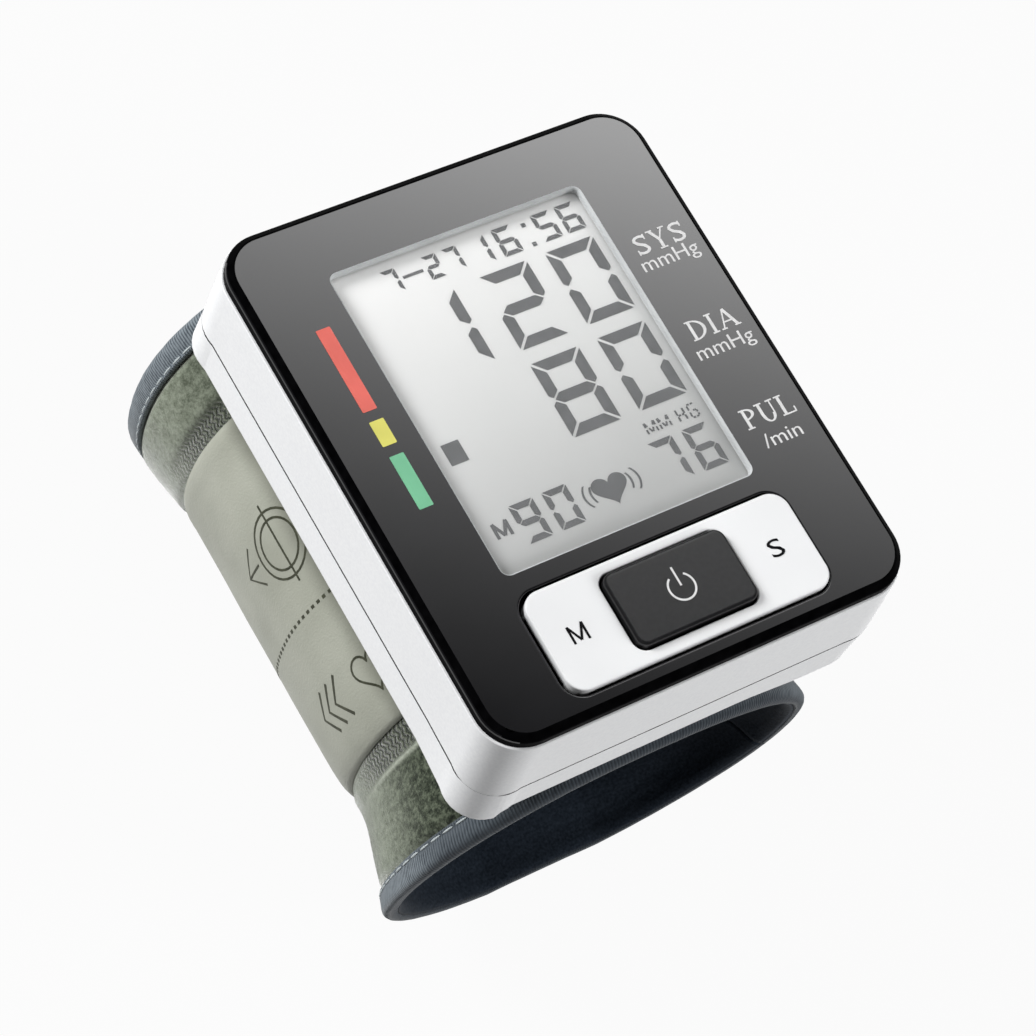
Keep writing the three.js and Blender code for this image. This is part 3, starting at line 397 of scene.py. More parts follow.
def rubbed(angle, y):
    """1 on the bands beside the label that are worn down to the knit."""
    low, high = LABEL_YS
    near = plateau(y, low - BANDS[0] - 0.6, low - BANDS[0] + 0.1, low, low + 1)
    far = plateau(y, high - 1, high, high + BANDS[1] - 0.3, high + BANDS[1] + 0.9)
    return on_label(angle) * (1 - between(angle, *FLANK)) * max(near, far)


def shade_beside_casing(angle, y):
    """1 beside the casing, where painted shade darkens the pile, most of all at the near end."""
    far = between(y, 0, LABEL_YS[1])
    return plateau(angle, 60, 90, 152 - 12 * far, 184 - 12 * far) * (1 - 0.35 * far)


def folded(angle, y):
    """1 along the fold where the standing pile ends at the near band, which is raised and painted pale as a
    highlight.
    """
    ridge = LABEL_YS[0] - BANDS[0] - 0.7
    return on_label(angle) * (1 - between(angle, *FLANK)) * (1 - between(abs(y - ridge), 0.1, 0.6))


def fabric_puff(angle, y, depth):
    """Raises the pile, most in the strip at the back, and sinks it at the stitches."""
    if depth > FABRIC_DEPTH + FABRIC_THICKNESS / 2:
        return 0
    near_edge, far_edge = (rim + away * TAPE_WIDTH for rim, away in RIMS)
    free = plateau(y, near_edge - 0.2, near_edge + 1.4, far_edge - 1.0, far_edge + 0.2)
    run = arc_length(angle)
    fullness = 0.5 + 0.45 * between(y, LABEL_YS[1], 36)
    lumps = 0.1 * soft_noise(run * 0.12, y * 0.13, 1.0) + 0.04 * soft_noise(run * 0.6, y * 0.6, 5.0)
    fuzz = 0.03 * soft_noise(run * 2.4, y * 2.4, 9.0)
    flat = max(pressed(angle, y), rubbed(angle, y))
    raised = fullness + 0.25 * folded(angle, y) - lumps
    return 0.12 * flat + 0.15 * (1 - free) + fuzz - (1 - flat) * free * raised


def maths(material, operation, *values):
    """A sum that the shader does."""
    return node(material, "Math", dict(enumerate(values)), operation=operation).outputs["Value"]


def mix(material, share, first, second):
    """One colour going over into another."""
    return node(material, "Mix", {0: share, 6: first, 7: second}, data_type="RGBA").outputs[2]


def painted(material, name):
    """A value that the piece's own points hold."""
    return node(material, "Attribute", {}, attribute_name=name).outputs["Fac"]


fabric_ys = spread(*(rim + away * FABRIC_EDGE for rim, away in RIMS), FABRIC_ROWS)
fabric_outside = [(y, FABRIC_DEPTH) for y in fabric_ys]
fabric_inside = [(y, FABRIC_DEPTH + FABRIC_THICKNESS) for y in reversed(fabric_ys[::4])]
fabric = sweep(fabric_outside + fabric_inside, CUFF_ENDS, 300, fabric_puff)
# worn marks the real worn bands, thin holds painted shade beside the casing, and fold a painted highlight
# along the ridge
wear_shade_and_highlight = {"worn": rubbed, "thin": shade_beside_casing, "fold": folded}
for name in wear_shade_and_highlight:
    fabric.verts.layers.float.new(name)
cloth_place = fabric.loops.layers.uv["Cloth"]
for vert in fabric.verts:
    run, y = vert.link_loops[0][cloth_place].uv
    for name, amount in wear_shade_and_highlight.items():
        vert[fabric.verts.layers.float[name]] = amount(angle_at(run), y)

loop_pile = finish("loop_pile", {"Roughness": 0.95, "Sheen Weight": 0.9, "Sheen Roughness": 0.35})
pile_place = place_on(loop_pile)
fine_pile = cloud(loop_pile, pile_place, 3000, 4, 0.7)
tufts = cloud(loop_pile, pile_place, 1000, 3, 0.6)
pile_half = maths(loop_pile, "MULTIPLY", maths(loop_pile, "ADD", fine_pile, tufts), 0.5)
full_pile = ramp(loop_pile, pile_half, (0.38, 98, 105, 89), (0.48, 125, 132, 116), (0.62, 147, 154, 138))
# painted shade: a darker copy of the pile colour, laid on beside the casing by the thin values
shaded_pile = ramp(loop_pile, pile_half, (0.40, 34, 38, 32), (0.49, 60, 66, 55), (0.60, 96, 103, 88))
# painted highlight: a pale copy of the pile colour along the raised fold
highlight_pile = ramp(loop_pile, pile_half, (0.4, 140, 146, 132), (0.6, 172, 178, 164))
knit_place = node(loop_pile, "SeparateXYZ", {"Vector": place_on(loop_pile, "UV")}).outputs
knit_row = maths(loop_pile, "PINGPONG", knit_place["Y"], KNIT_ROW)
knit_slant = maths(loop_pile, "ADD", knit_place["X"], knit_row)
knit_loose = maths(loop_pile, "MULTIPLY_ADD", tufts, 0.9, knit_slant)
knit_wave = maths(loop_pile, "SINE", maths(loop_pile, "MULTIPLY", knit_loose, math.tau / KNIT_PITCH))
knit = maths(loop_pile, "MULTIPLY_ADD", knit_wave, 0.26, fine_pile)
knit_colour = ramp(loop_pile, knit, (0.25, 40, 45, 37), (0.5, 64, 70, 58), (0.8, 110, 116, 100))
worn_share = painted(loop_pile, "worn")
standing = mix(loop_pile, painted(loop_pile, "thin"), full_pile, shaded_pile)
mixed_pile = mix(loop_pile, worn_share, standing, knit_colour)
knit_bump = dent(loop_pile, maths(loop_pile, "MULTIPLY", knit, worn_share), 0.00015)
coat(loop_pile, {
    "Base Color": mix(loop_pile, painted(loop_pile, "fold"), mixed_pile, highlight_pile),
    "Normal": dent(loop_pile, fine_pile, 0.0001, under=knit_bump),
})

outer_fabric = settle("outer_fabric", fabric, loop_pile, "monitor", "loop_fabric", "cuff_outer")

# Binding tape: slate ribbed tape, one length for each rim.
# It is folded over the raw edges of fabric and lining and sewn through.
STITCH_LINE = 3.1  # from the rim
CASING_SHADE = (-32, -28, 16, 26)  # X over which painted shade darkens the near tape under the casing, and fades again


def tape_section(rim, away):
    """The tape from its outer edge over the rim to where the lining comes out from under it."""
    turns = range(0, LINING_SEAM, 13)
    outside = [round_fold(rim, away, turn, FOLD_RADIUS) for turn in turns]
    inside = [round_fold(rim, away, turn, FOLD_RADIUS - TAPE_THICKNESS) for turn in reversed(turns)]
    edge = [(TAPE_WIDTH, 0.25), (TAPE_WIDTH - 0.2, 0.02)]
    groove = [(STITCH_LINE + 0.25, 0), (STITCH_LINE, 0.2), (STITCH_LINE - 0.35, 0)]
    outer_face = [(rim + away * distance, depth) for distance, depth in edge + groove]
    return outer_face + outside + inside + [(rim + away * TAPE_WIDTH, TAPE_THICKNESS)]


def tape_swell(angle, y, depth):
    """The tape is drawn a little in and out by its stitches."""
    return 0.08 * soft_noise(arc_length(angle) * 0.5, y * 0.3, 2.0) - 0.05


def waves(material, vector, scale, direction, distortion=0.0):
    sockets = {"Vector": vector, "Scale": scale, "Distortion": distortion}
    return node(material, "TexWave", sockets, bands_direction=direction).outputs["Fac"]


def share_of(material, value, low, high, **settings):
    """0 to 1 as a value goes from low to high."""
    sockets = {"Value": value, "From Min": low, "From Max": high}
    return node(material, "MapRange", sockets, **settings).outputs["Result"]


ribbed_tape = finish("ribbed_tape", {"Roughness": 0.8, "Sheen Weight": 0.2})
tape_place = place_on(ribbed_tape, "UV")
ribs = waves(ribbed_tape, tape_place, 0.75, "X", 0.4)
cross = waves(ribbed_tape, tape_place, 0.55, "DIAGONAL", 0.8)
woven = maths(ribbed_tape, "MULTIPLY", ribs, maths(ribbed_tape, "MULTIPLY_ADD", cross, 0.45, 0.55))
tape_tone = maths(ribbed_tape, "ADD", woven, cloud(ribbed_tape, place_on(ribbed_tape), 800, 3))
tape_base = ramp(ribbed_tape, tape_tone, (0.35, 60, 67, 73), (0.7, 90, 98, 104), (1.1, 122, 130, 136))
shaded_tape = ramp(ribbed_tape, tape_tone, (0.35, 40, 45, 51), (1.0, 60, 66, 72))
# painted shade: a darker copy of the tape colour, where the near tape folds in and under the casing
tape_shade_share = share_of(ribbed_tape, painted(ribbed_tape, "depth"), 0.4, 1.7)
coat(ribbed_tape, {
    "Base Color": mix(ribbed_tape, tape_shade_share, tape_base, shaded_tape),
    "Normal": dent(ribbed_tape, woven, 0.00005),
})

for side, (rim, away) in zip(("near", "far"), RIMS):
    tape = sweep(tape_section(rim, away), CUFF_ENDS, 300, tape_swell)
    sunk = tape.verts.layers.float["depth"]
    # Painted shade on the near tape, held in its depth values: darker the deeper into the fold and under the
    # casing
    for vert in tape.verts:
        tape_shade = vert[sunk] + 0.4 + 0.9 * plateau(vert.co.x, *CASING_SHADE)
        vert[sunk] = tape_shade if side == "near" else 0  # the far tape gets none of this painted shade
    settle(side + "_tape", tape, ribbed_tape, "monitor", "binding_tape", side + "_binding")

# Stitches: one row of pale twisted thread along each tape.
# It is lock stitched through tape, fabric and lining.
STITCH_PITCH = 2.2
STITCH_LENGTH = 1.9
STITCH_RADIUS = 0.17
STITCH_DEPTH = 0.06

thread = finish("thread", {"Roughness": 0.7, "Sheen Weight": 0.3})
twist = waves(thread, place_on(thread), 2200, "DIAGONAL")
coat(thread, {"Base Color": ramp(thread, twist, (0.2, 150, 158, 160), (0.8, 196, 203, 204))})

for side, (rim, away) in zip(("near", "far"), RIMS):
    row = bmesh.new()
    for stitch in range(int(arc[-1] / STITCH_PITCH) - 1):
        middle = angle_at(STITCH_PITCH * (stitch + 1))
        place = loop_point(middle, rim + away * STITCH_LINE, STITCH_DEPTH)
        ahead = loop_point(middle + 1, rim + away * STITCH_LINE, STITCH_DEPTH) - place
        place.z = max(place.z, STITCH_RADIUS)
        lie = Vector((1, 0, 0)).rotation_difference(ahead).to_matrix().to_4x4()
        shape = Matrix.Diagonal((STITCH_LENGTH / 2, STITCH_RADIUS, STITCH_RADIUS, 1))
        laid = Matrix.Translation(place) @ lie @ shape
        bmesh.ops.create_uvsphere(row, u_segments=8, v_segments=6, radius=1, matrix=laid)
    for vert in row.verts:
        vert.co.z = max(vert.co.z, 0)
    settle(side + "_stitches", row, thread, "monitor", "binding_tape")

# Instruction label: a smooth panel of pale coated cloth on the left flank of the cuff.
# It is sewn down at its ends, and painted shade darkens it along its upper edge, beside the casing.
LABEL_DEPTH = 0.4
LABEL_THICKNESS = 0.25
LABEL_SHADE_ANGLES = (156, 145)  # angles over which painted shade darkens it
LABEL_TURN = 2.2  # length of the ends that turn down


def label_sag(angle, y, depth):
    """The panel is a little full in the middle and turns down to the fabric at both ends."""
    inward = min(y - LABEL_YS[0], LABEL_YS[1] - y)
    turned_down = (1 - min(max(inward, 0) / LABEL_TURN, 1)) ** 2
    wave = soft_noise(arc_length(angle) * 0.11, y * 0.09, 7.0)
    return 0.3 * turned_down - (1 - turned_down) * (0.12 + 0.12 * wave)


coated_cloth = finish("coated_cloth", {"Roughness": 0.55, "Sheen Weight": 0.1})
label_place = place_on(coated_cloth)
label_cloud = cloud(coated_cloth, label_place, 90, 3)
label_weave = cloud(coated_cloth, label_place, 3000, 2)
label_base = ramp(coated_cloth, label_cloud, (0.3, 150, 152, 140), (0.7, 167, 169, 157))
# painted shade: a darker copy of the label colour beside the casing
label_shaded = ramp(coated_cloth, label_cloud, (0.3, 84, 86, 76), (0.7, 112, 114, 103))
label_along = node(coated_cloth, "SeparateXYZ", {"Vector": place_on(coated_cloth, "UV")}).outputs["X"]
label_shade_run = [arc_length(angle) for angle in LABEL_SHADE_ANGLES]
label_shade_share = share_of(coated_cloth, label_along, *label_shade_run, interpolation_type="SMOOTHSTEP")
coat(coated_cloth, {
    "Base Color": mix(coated_cloth, label_shade_share, label_base, label_shaded),
    "Normal": dent(coated_cloth, label_weave, 0.00006),
})
label_ys = spread(*LABEL_YS, 60)
label_section = [(y, LABEL_DEPTH) for y in label_ys]
label_section += [(y, LABEL_DEPTH + LABEL_THICKNESS) for y in reversed(label_ys[::2])]
label = sweep(label_section, LABEL_ANGLES, 90, label_sag)
settle("label", label, coated_cloth, "monitor", "label_fabric", "instruction_label")

# Guides on the label: a dotted line, chevrons, a ring with an arrow and a heart.
# They are screen printed on the cloth in dark olive.
GUIDE_STROKE = 0.32
GUIDE_HEIGHT = 0.05
GUIDE_SUNK = 0.02
DOT_PITCH = 1.25
DOT_LENGTH = 0.6
DOT_WIDTH = 0.45
DOTS_Y = 1.6
RING_MIDDLE = (8.5, 11.0)
HEART_MIDDLE = (5.5, -9.6)
HEART_SCALE = 0.19
label_run = arc_length(LABEL_ANGLES[0])


def stroke_along(bm, points, width=GUIDE_STROKE, closed=False):
    """A thin flat line through points of the label, given in millimetres along the loop and along Y."""
    corners = [Vector(point) for point in points]
    count = len(corners)
    sides = []
    for i, corner in enumerate(corners):
        before = corners[i - 1] if closed or i > 0 else corner
        after = corners[(i + 1) % count] if closed or i < count - 1 else corner
        along = (after - before).normalized() * width / 2
        ends = [(corner.x + side * along.y, corner.y - side * along.x, 0) for side in (-1, 1)]
        sides.append([bm.verts.new(end) for end in ends])
    for i in range(count if closed else count - 1):
        after = sides[(i + 1) % count]
        bm.faces.new([sides[i][0], sides[i][1], after[1], after[0]])


def arc_points(middle, across, up, turns):
    """Points of an ellipse at the given turns."""
    x, y = middle
    return [(x + across * math.cos(turn), y + up * math.sin(turn)) for turn in turns]


def heart_points(x, y, across, up, lift=0.0):
    """A heart about a middle by the usual sine curve, 32 wide and about 29 high before it is scaled."""
    points = []
    for turn in spread(0, math.tau, 40)[:-1]:
        rise = 13 * math.cos(turn) - 5 * math.cos(2 * turn) - 2 * math.cos(3 * turn) - math.cos(4 * turn)
        points.append((x + across * 16 * math.sin(turn) ** 3, y + up * (rise + lift)))
    return points


def verts_of(geom):
    return [part for part in geom if isinstance(part, bmesh.types.BMVert)]


def thicken(bm, height):
    """Gives flat shapes a thickness upwards."""
    raised = bmesh.ops.extrude_face_region(bm, geom=bm.faces[:])["geom"]
    bmesh.ops.translate(bm, vec=(0, 0, height), verts=verts_of(raised))


guides = bmesh.new()
for dot in range(26):
    start = 1.0 + dot * DOT_PITCH
    stroke_along(guides, [(start, DOTS_Y), (start + DOT_LENGTH, DOTS_Y)], DOT_WIDTH)
for tip in (12.0, 14.4, 16.8):
    stroke_along(guides, [(tip, -12.5), (tip + 2.6, -9.6), (tip, -6.7)], GUIDE_STROKE * 1.5)
for radius in (3.4, 4.6):
    stroke_along(guides, arc_points(RING_MIDDLE, radius, radius, spread(0, math.tau, 32)[:-1]), closed=True)
stroke_along(guides, [(8.5, 5.4), (8.5, 16.8)])
stroke_along(guides, [(14.5, 8.5), (18.0, 11.2), (14.5, 14.0)])
stroke_along(guides, [(14.0, 11.2), (18.0, 11.2)])
stroke_along(guides, heart_points(*HEART_MIDDLE, HEART_SCALE, HEART_SCALE), closed=True)
bmesh.ops.subdivide_edges(guides, edges=[edge for edge in guides.edges if edge.calc_length() > 1.5], cuts=5)
thicken(guides, GUIDE_HEIGHT)
for vert in guides.verts:
    angle = angle_at(label_run + vert.co.x)
    sunk = label_sag(angle, vert.co.y, LABEL_DEPTH)
    vert.co = loop_point(angle, vert.co.y, LABEL_DEPTH + sunk + GUIDE_SUNK - vert.co.z)
olive_ink = mottled("olive_ink", {"Roughness": 0.6}, 1200, 2, (48, 50, 38), (70, 72, 58))
settle("guides", guides, olive_ink, "monitor", "label_fabric", smooth=False)

# Closure tab: the fastening end of the cuff, two layers of the cuff fabric sewn flat.
# Its root is sewn to the cuff, its free end peels up, and it grips with the hooks on its inner face.
TAB_YS = (-17.0, 23.0)
TAB_ANGLES = (-52, 10)
TAB_ROOT = (-50, -43)  # the angles over which it bends
TAB_DEPTHS = (-1.3, -0.3)
TAB_EDGE = 0.35  # its long edges are pressed thin
HOOK_YS = (-13, 19)
HOOK_ANGLES = (-30, 6)
HOOK_THICKNESS = 0.5


def tab_root(angle, y, depth):
    """The root of the tab lies down on the fabric, and its tip thins out."""
    down = 1 - between(angle, TAB_ANGLES[0], TAB_ANGLES[0] + 10)
    tip = between(angle, TAB_ANGLES[1] - 1.2, TAB_ANGLES[1])
    outside = depth < sum(TAB_DEPTHS) / 2
    return down * (1.15 if outside else 0.85) + (0.3 * tip if outside else 0)


tab_ys = spread(*TAB_YS, 20)
tab_outside = [(y, TAB_DEPTHS[0] + (TAB_EDGE if y in TAB_YS else 0)) for y in tab_ys]
tab_inside = [(y, TAB_DEPTHS[1]) for y in reversed(tab_ys)]
tab_sheet = sweep(tab_outside + tab_inside, TAB_ANGLES, 60, tab_root)
tab = settle("tab", tab_sheet, loop_pile, None, "loop_fabric", "closure_tab")
root_start, root_end = (TO_FRAME @ loop_point(angle, 0, 0) for angle in TAB_ROOT)
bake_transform(tab, "monitor", "cuff_tab", start=root_start, end=root_end)

hook_nylon = finish("hook_nylon", {"Roughness": 0.5})
hook_cells = {"Vector": place_on(hook_nylon, "UV"), "Scale": 1.3}
hooks = node(hook_nylon, "TexVoronoi", hook_cells).outputs["Distance"]
coat(hook_nylon, {
    "Base Color": ramp(hook_nylon, hooks, (0.1, 80, 84, 84), (0.6, 38, 41, 42)),
    "Normal": dent(hook_nylon, hooks, 0.0006),
})
hook_section = [(y, 0.0) for y in HOOK_YS] + [(y, HOOK_THICKNESS) for y in reversed(HOOK_YS)]
settle("hooks", sweep(hook_section, HOOK_ANGLES, 40), hook_nylon, "cuff_tab", "hook_fabric", "hook_patch")

# Saddle and screws: a moulded plate shaped to the cuff, white as the casing that it joins the cuff to.
# Two steel screws hold it, and four more hold the casing together.
satin_white = mottled(
    "satin_white", {"Roughness": 0.32}, 2400, 2, (226, 227, 229), (233, 234, 235), (0.00001, 0.5),
)
steel_look = {"Metallic": 1.0, "Roughness": 0.32}
screw_steel = mottled(
    "screw_steel", steel_look, 600, 3, (168, 170, 174), (200, 202, 205), stretch=(1, 8, 1),
)
dress(satin_white, "cuff_saddle")
dress(screw_steel, "saddle_screw_1", "saddle_screw_2")
dress(screw_steel, "casing_screw_1", "casing_screw_2", "casing_screw_3", "casing_screw_4")

# Lower casing: the tray of the casing, moulded in white satin ABS.
# Its foot is rounded, and four screws go up through it into the upper casing.
FACE_HALF_WIDTH = 30.0
FACE_HALF_LENGTH = 36.0
CASING_BOTTOM = 52.2
CASING_CORNER = 6.1
CORNER_X = FACE_HALF_WIDTH - CASING_CORNER  # where the rounded corners start
CORNER_Y = FACE_HALF_LENGTH - CASING_CORNER
CORNER_STEPS = 12
WALL = 1.8
RIM_TOP = 70.0
SEAM = 58.4
SEAM_GAP = 0.34
SEAM_FRONT = 0.7  # the front wall leans out below the face
SEAM_END = (1.8, 3.4)  # how far into a corner the parting line closes
TRAY_ROWS = (57.0, 55.8, 54.8)  # heights at which the wall gets a row of points, to bend it
FOOT_ROUND = 0.9
FOOT_DROP = 0.3  # the front corners of the foot stand lower than its sides
FOOT_STEP = (-26.1, -25.7)  # on the left the relief of the front edge ends in a step
FOOT_FADE = (9.0, 20.0)  # and on the right it runs out
FOOT_COLUMNS = FOOT_STEP + (9, 11, 13, 15, 17, 19, 20)  # X of the points that bend the front edge
FOOT_FRONT = -33.5
RELIEF_HEIGHT = 1.0
CORNER_DROP = 0.9  # the right front corner of the foot hangs lowest
CORNER_DROP_XS = (24, 27.5)
FOOT_DROP_YS = (24, 34)
FLARES = {  # how far a corner, by its sides, stands out at the seam and at the foot
    (-1, -1): (0.7, 1.1),
    (-1, 1): (0.7, 1.1),
    (1, -1): (0.5, -0.5),
}
SCREW_PLACES = [(24, 30), (-24, 30), (-24, -30), (24, -30)]
SCREW_ROOM = (26.2, 32.2)  # the floor and its screw holes lie within these distances, and stay flat
SCREW_HOLE_RADIUS = 2.1
SCREW_HOLE_DEPTH = 2.0
DOOR_SPACE = 24.5
DOOR_SPACE_TOP = 65.2
DOOR_SPACE_X = 27.2


def rounded_face(bm, half, low, high, radius, z, x=0.0):
    """A flat rectangle with rounded corners."""
    corners = bmesh.ops.create_grid(bm, x_segments=1, y_segments=1, size=0.5)["verts"]
    bmesh.ops.scale(bm, vec=(2 * half, high - low, 1), verts=corners)
    bmesh.ops.translate(bm, vec=(x, (low + high) / 2, z), verts=corners)
    rounding = bmesh.ops.bevel(
        bm, geom=corners, offset=radius, offset_type="OFFSET", segments=CORNER_STEPS,
        profile=0.5, affect="VERTICES", material=-1,
    )
    return rounding["verts"][0].link_faces[0]


def draw_up(bm, face, z, side=0.0, front=0.0, back=0.0):
    """Draws a flat outline on to another height, its sides moved out or in on the way."""
    made = bmesh.ops.extrude_face_region(bm, geom=[face])["geom"]
    drawn = next(part for part in made if isinstance(part, bmesh.types.BMFace))
    for vert in drawn.verts:
        vert.co.z = z
        vert.co.x += math.copysign(side, vert.co.x)
        vert.co.y += back if vert.co.y > 0 else -front
    return drawn


def half_casing(seam_z, end_z, rounding, steps, **lean):
    """One shell of the casing, open at the parting line, the edge at its other end rounded."""
    bm = bmesh.new()
    low = -FACE_HALF_LENGTH - SEAM_FRONT
    seam_face = rounded_face(bm, FACE_HALF_WIDTH, low, FACE_HALF_LENGTH, CASING_CORNER, seam_z)
    end = draw_up(bm, seam_face, end_z, **lean)
    bmesh.ops.delete(bm, geom=[seam_face], context="FACES_ONLY")
    bmesh.ops.bevel(
        bm, geom=end.edges[:], offset=rounding, offset_type="OFFSET", segments=steps,
        profile=0.5, affect="EDGES", material=-1, clamp_overlap=True,
    )
    return bm


def slice_at(bm, point, normal):
    """A new row of edges where a plane crosses the piece."""
    geom = bm.verts[:] + bm.edges[:] + bm.faces[:]
    bmesh.ops.bisect_plane(bm, geom=geom, dist=1e-5, plane_co=point, plane_no=normal)


def open_door_space(bm):
    """Cuts the space for the battery door out of the right wall."""
    for y in (-DOOR_SPACE, DOOR_SPACE):
        slice_at(bm, (0, y, 0), (0, 1, 0))
    slice_at(bm, (0, 0, DOOR_SPACE_TOP), (0, 0, 1))
    gone = []
    for face in bm.faces:
        middle = face.calc_center_median()
        if middle.x > DOOR_SPACE_X and abs(middle.y) < DOOR_SPACE and middle.z < DOOR_SPACE_TOP:
            gone.append(face)
    bmesh.ops.delete(bm, geom=gone, context="FACES")
    bmesh.ops.recalc_face_normals(bm, faces=bm.faces)


def past_corner(place):
    """How far a place lies past the start of its rounded corner, across and along."""
    return abs(place.x) - CORNER_X, abs(place.y) - CORNER_Y


def at_screw(place):
    return abs(place.x) < SCREW_ROOM[0] and abs(place.y) < SCREW_ROOM[1]


def flare_corners(bm):
    """The rounded corners spread or draw in from the rim down to the foot."""
    for vert in bm.verts:
        sides = (math.copysign(1, vert.co.x), math.copysign(1, vert.co.y))
        along, ahead = past_corner(vert.co)
        if along > 0 and ahead > 0 and sides in FLARES and not at_screw(vert.co):
            at_seam, at_foot = FLARES[sides]
            up = max(RIM_TOP - vert.co.z, 0) / (RIM_TOP - SEAM)
            down = max(SEAM - vert.co.z, 0) / (SEAM - CASING_BOTTOM)
            turn = math.atan2(along, ahead)
            out = (at_seam * min(up, 1) + (at_foot - at_seam) * down) * math.sin(2 * turn)
            vert.co.x += sides[0] * out * math.sin(turn)
            vert.co.y += sides[1] * out * math.cos(turn)


def part_by_finish(bm):
    """Keeps the edges between two finishes sharp."""
    for edge in bm.edges:
        edge.smooth = len({face.material_index for face in edge.link_faces}) == 1


seam_shade = mottled("seam_shade", {"Roughness": 0.7}, 500, 1, (52, 52, 54), (64, 64, 66))


def close_casing(bm, seam_z, wall, name, node_name):
    """Ends the parting line before each rounded corner, where the two shells meet, and thickens the wall.
    The two edges along the line lie in their own shadow."""
    for side in (-1, 1):
        for inset in (0, 2.5):
            slice_at(bm, (side * (CORNER_X - inset), 0, 0), (1, 0, 0))
            slice_at(bm, (0, side * (CORNER_Y - inset), 0), (0, 1, 0))
    shift = math.copysign(SEAM_GAP / 2 + 0.01, SEAM - seam_z)
    for vert in bm.verts:
        if abs(vert.co.z - seam_z) < 0.01:
            vert.co.z += shift * between(min(past_corner(vert.co)), *SEAM_END)
    bmesh.ops.solidify(bm, geom=bm.faces[:], thickness=wall)
    for face in bm.faces:
        if abs(face.normal.z) > 0.7 and abs(face.calc_center_median().z - SEAM) < 0.4:
            face.material_index = 1
    part_by_finish(bm)
    piece = settle(name, bm, satin_white, "monitor", "white_plastic", node_name, rigid=True)
    piece.data.materials.append(seam_shade)


tray_seam = SEAM - SEAM_GAP / 2
tray = half_casing(tray_seam, CASING_BOTTOM, FOOT_ROUND, 6, side=-0.1, front=0.3, back=-0.3)
floor_face = min(tray.faces, key=lambda face: face.calc_center_median().z)
floor_edges = floor_face.edges[:]
bmesh.ops.delete(tray, geom=[floor_face], context="FACES_ONLY")
hole_edges = []
for x, y in SCREW_PLACES:
    place = Matrix.Translation((x, y, CASING_BOTTOM))
    hole = bmesh.ops.create_circle(tray, segments=24, radius=SCREW_HOLE_RADIUS, matrix=place)["verts"]
    hole_edges += {edge for vert in hole for edge in vert.link_edges}
bmesh.ops.triangle_fill(tray, use_beauty=True, edges=floor_edges + hole_edges, normal=(0, 0, -1))
walls = bmesh.ops.extrude_edge_only(tray, edges=hole_edges)["geom"]
bmesh.ops.translate(tray, vec=(0, 0, SCREW_HOLE_DEPTH), verts=verts_of(walls))
open_door_space(tray)
for x in FOOT_COLUMNS:
    slice_at(tray, (x, 0, 0), (1, 0, 0))
for z in TRAY_ROWS:
    slice_at(tray, (0, 0, z), (0, 0, 1))
flare_corners(tray)
for vert in tray.verts:
    x, y, z = vert.co
    if z < CASING_BOTTOM + FOOT_ROUND + 0.05 and not at_screw(vert.co):
        beside = max(1 - between(x, *FOOT_STEP), between(x, *FOOT_FADE))
        lift = RELIEF_HEIGHT * (1 - beside) if y < FOOT_FRONT else 0
        drop = FOOT_DROP * beside + CORNER_DROP * between(x, *CORNER_DROP_XS)
        vert.co.z += lift - drop * between(-y, *FOOT_DROP_YS)
close_casing(tray, tray_seam, WALL, "casing_tray", "lower_casing")

# Cells, springs and contacts: two small dry cells in plain foil sleeves.
# Springs and bent strips of nickel plated steel hold them and carry the current.
sleeve_look = {"Metallic": 0.4, "Roughness": 0.35}
sleeve = mottled("cell_sleeve", sleeve_look, 500, 2, (56, 88, 128), (66, 100, 140))
dress(sleeve, "battery_1", "battery_2")
dress(screw_steel, "bridge_contact", "positive_contact", "negative_contact")
dress(screw_steel, "battery_spring_1", "battery_spring_2")

# Air system: a small steel motor with its moulded pump head, and a release valve.
# A manifold and soft pale hoses, pushed on to their nipples, join them to the cuff.
moulded_dark = mottled("moulded_dark", {"Roughness": 0.55}, 1800, 2, (36, 36, 38), (46, 46, 48), (0.00004,))
soft_tube = mottled("soft_tube", {"Roughness": 0.5}, 700, 2, (206, 203, 194), (218, 215, 206))
dress(screw_steel, "pump_motor", "pump_eccentric", "valve_plunger")
dress(moulded_dark, "pump_head", "release_valve")
dress(satin_white, "air_manifold")
dress(soft_tube, "air_hose_pump", "air_hose_valve", "air_hose_sensor")

# Circuit board: green glass fibre, held by two screws, with a pressure sensor and three push switches.
# Striped rubber strips press between the board and the display and carry its signals.
solder_mask = finish("solder_mask", {"Roughness": 0.35})
track_pattern = {"Vector": place_on(solder_mask), "Scale": 400, "Mortar Size": 0.03}
tracks = node(solder_mask, "TexBrick", track_pattern).outputs["Fac"]
coat(solder_mask, {"Base Color": ramp(solder_mask, tracks, (0.2, 24, 84, 52), (0.8, 36, 110, 70))})
strip_rubber = finish("strip_rubber", {"Roughness": 0.7})
strips = waves(strip_rubber, place_on(strip_rubber), 1500, "X")
coat(strip_rubber, {"Base Color": ramp(strip_rubber, strips, (0.3, 40, 40, 42), (0.7, 160, 150, 150))})
dress(solder_mask, "main_board")
dress(screw_steel, "board_screw_1", "board_screw_2", "switch_memory", "switch_power", "switch_set")
dress(moulded_dark, "pressure_sensor", "key_carrier", "lcd_holder")
dress(strip_rubber, "zebra_strip_top", "zebra_strip_bottom")

# Display glass: a liquid crystal panel, pale grey, with painted light that makes it lighter towards its far
# end and its left side.
# It lies in a frame under the window.
FACE_TOP = 72.0
GLASS_TOP = 70.6
GLASS_THICKNESS = 1.4
GLASS_LAP = 0.6  # it reaches this far under the panel
GLASS_CORNER = 0.8
WINDOW_HALF_WIDTH = 17.9
WINDOW_X = -0.4
WINDOW_YS = (-16.3, 27.1)


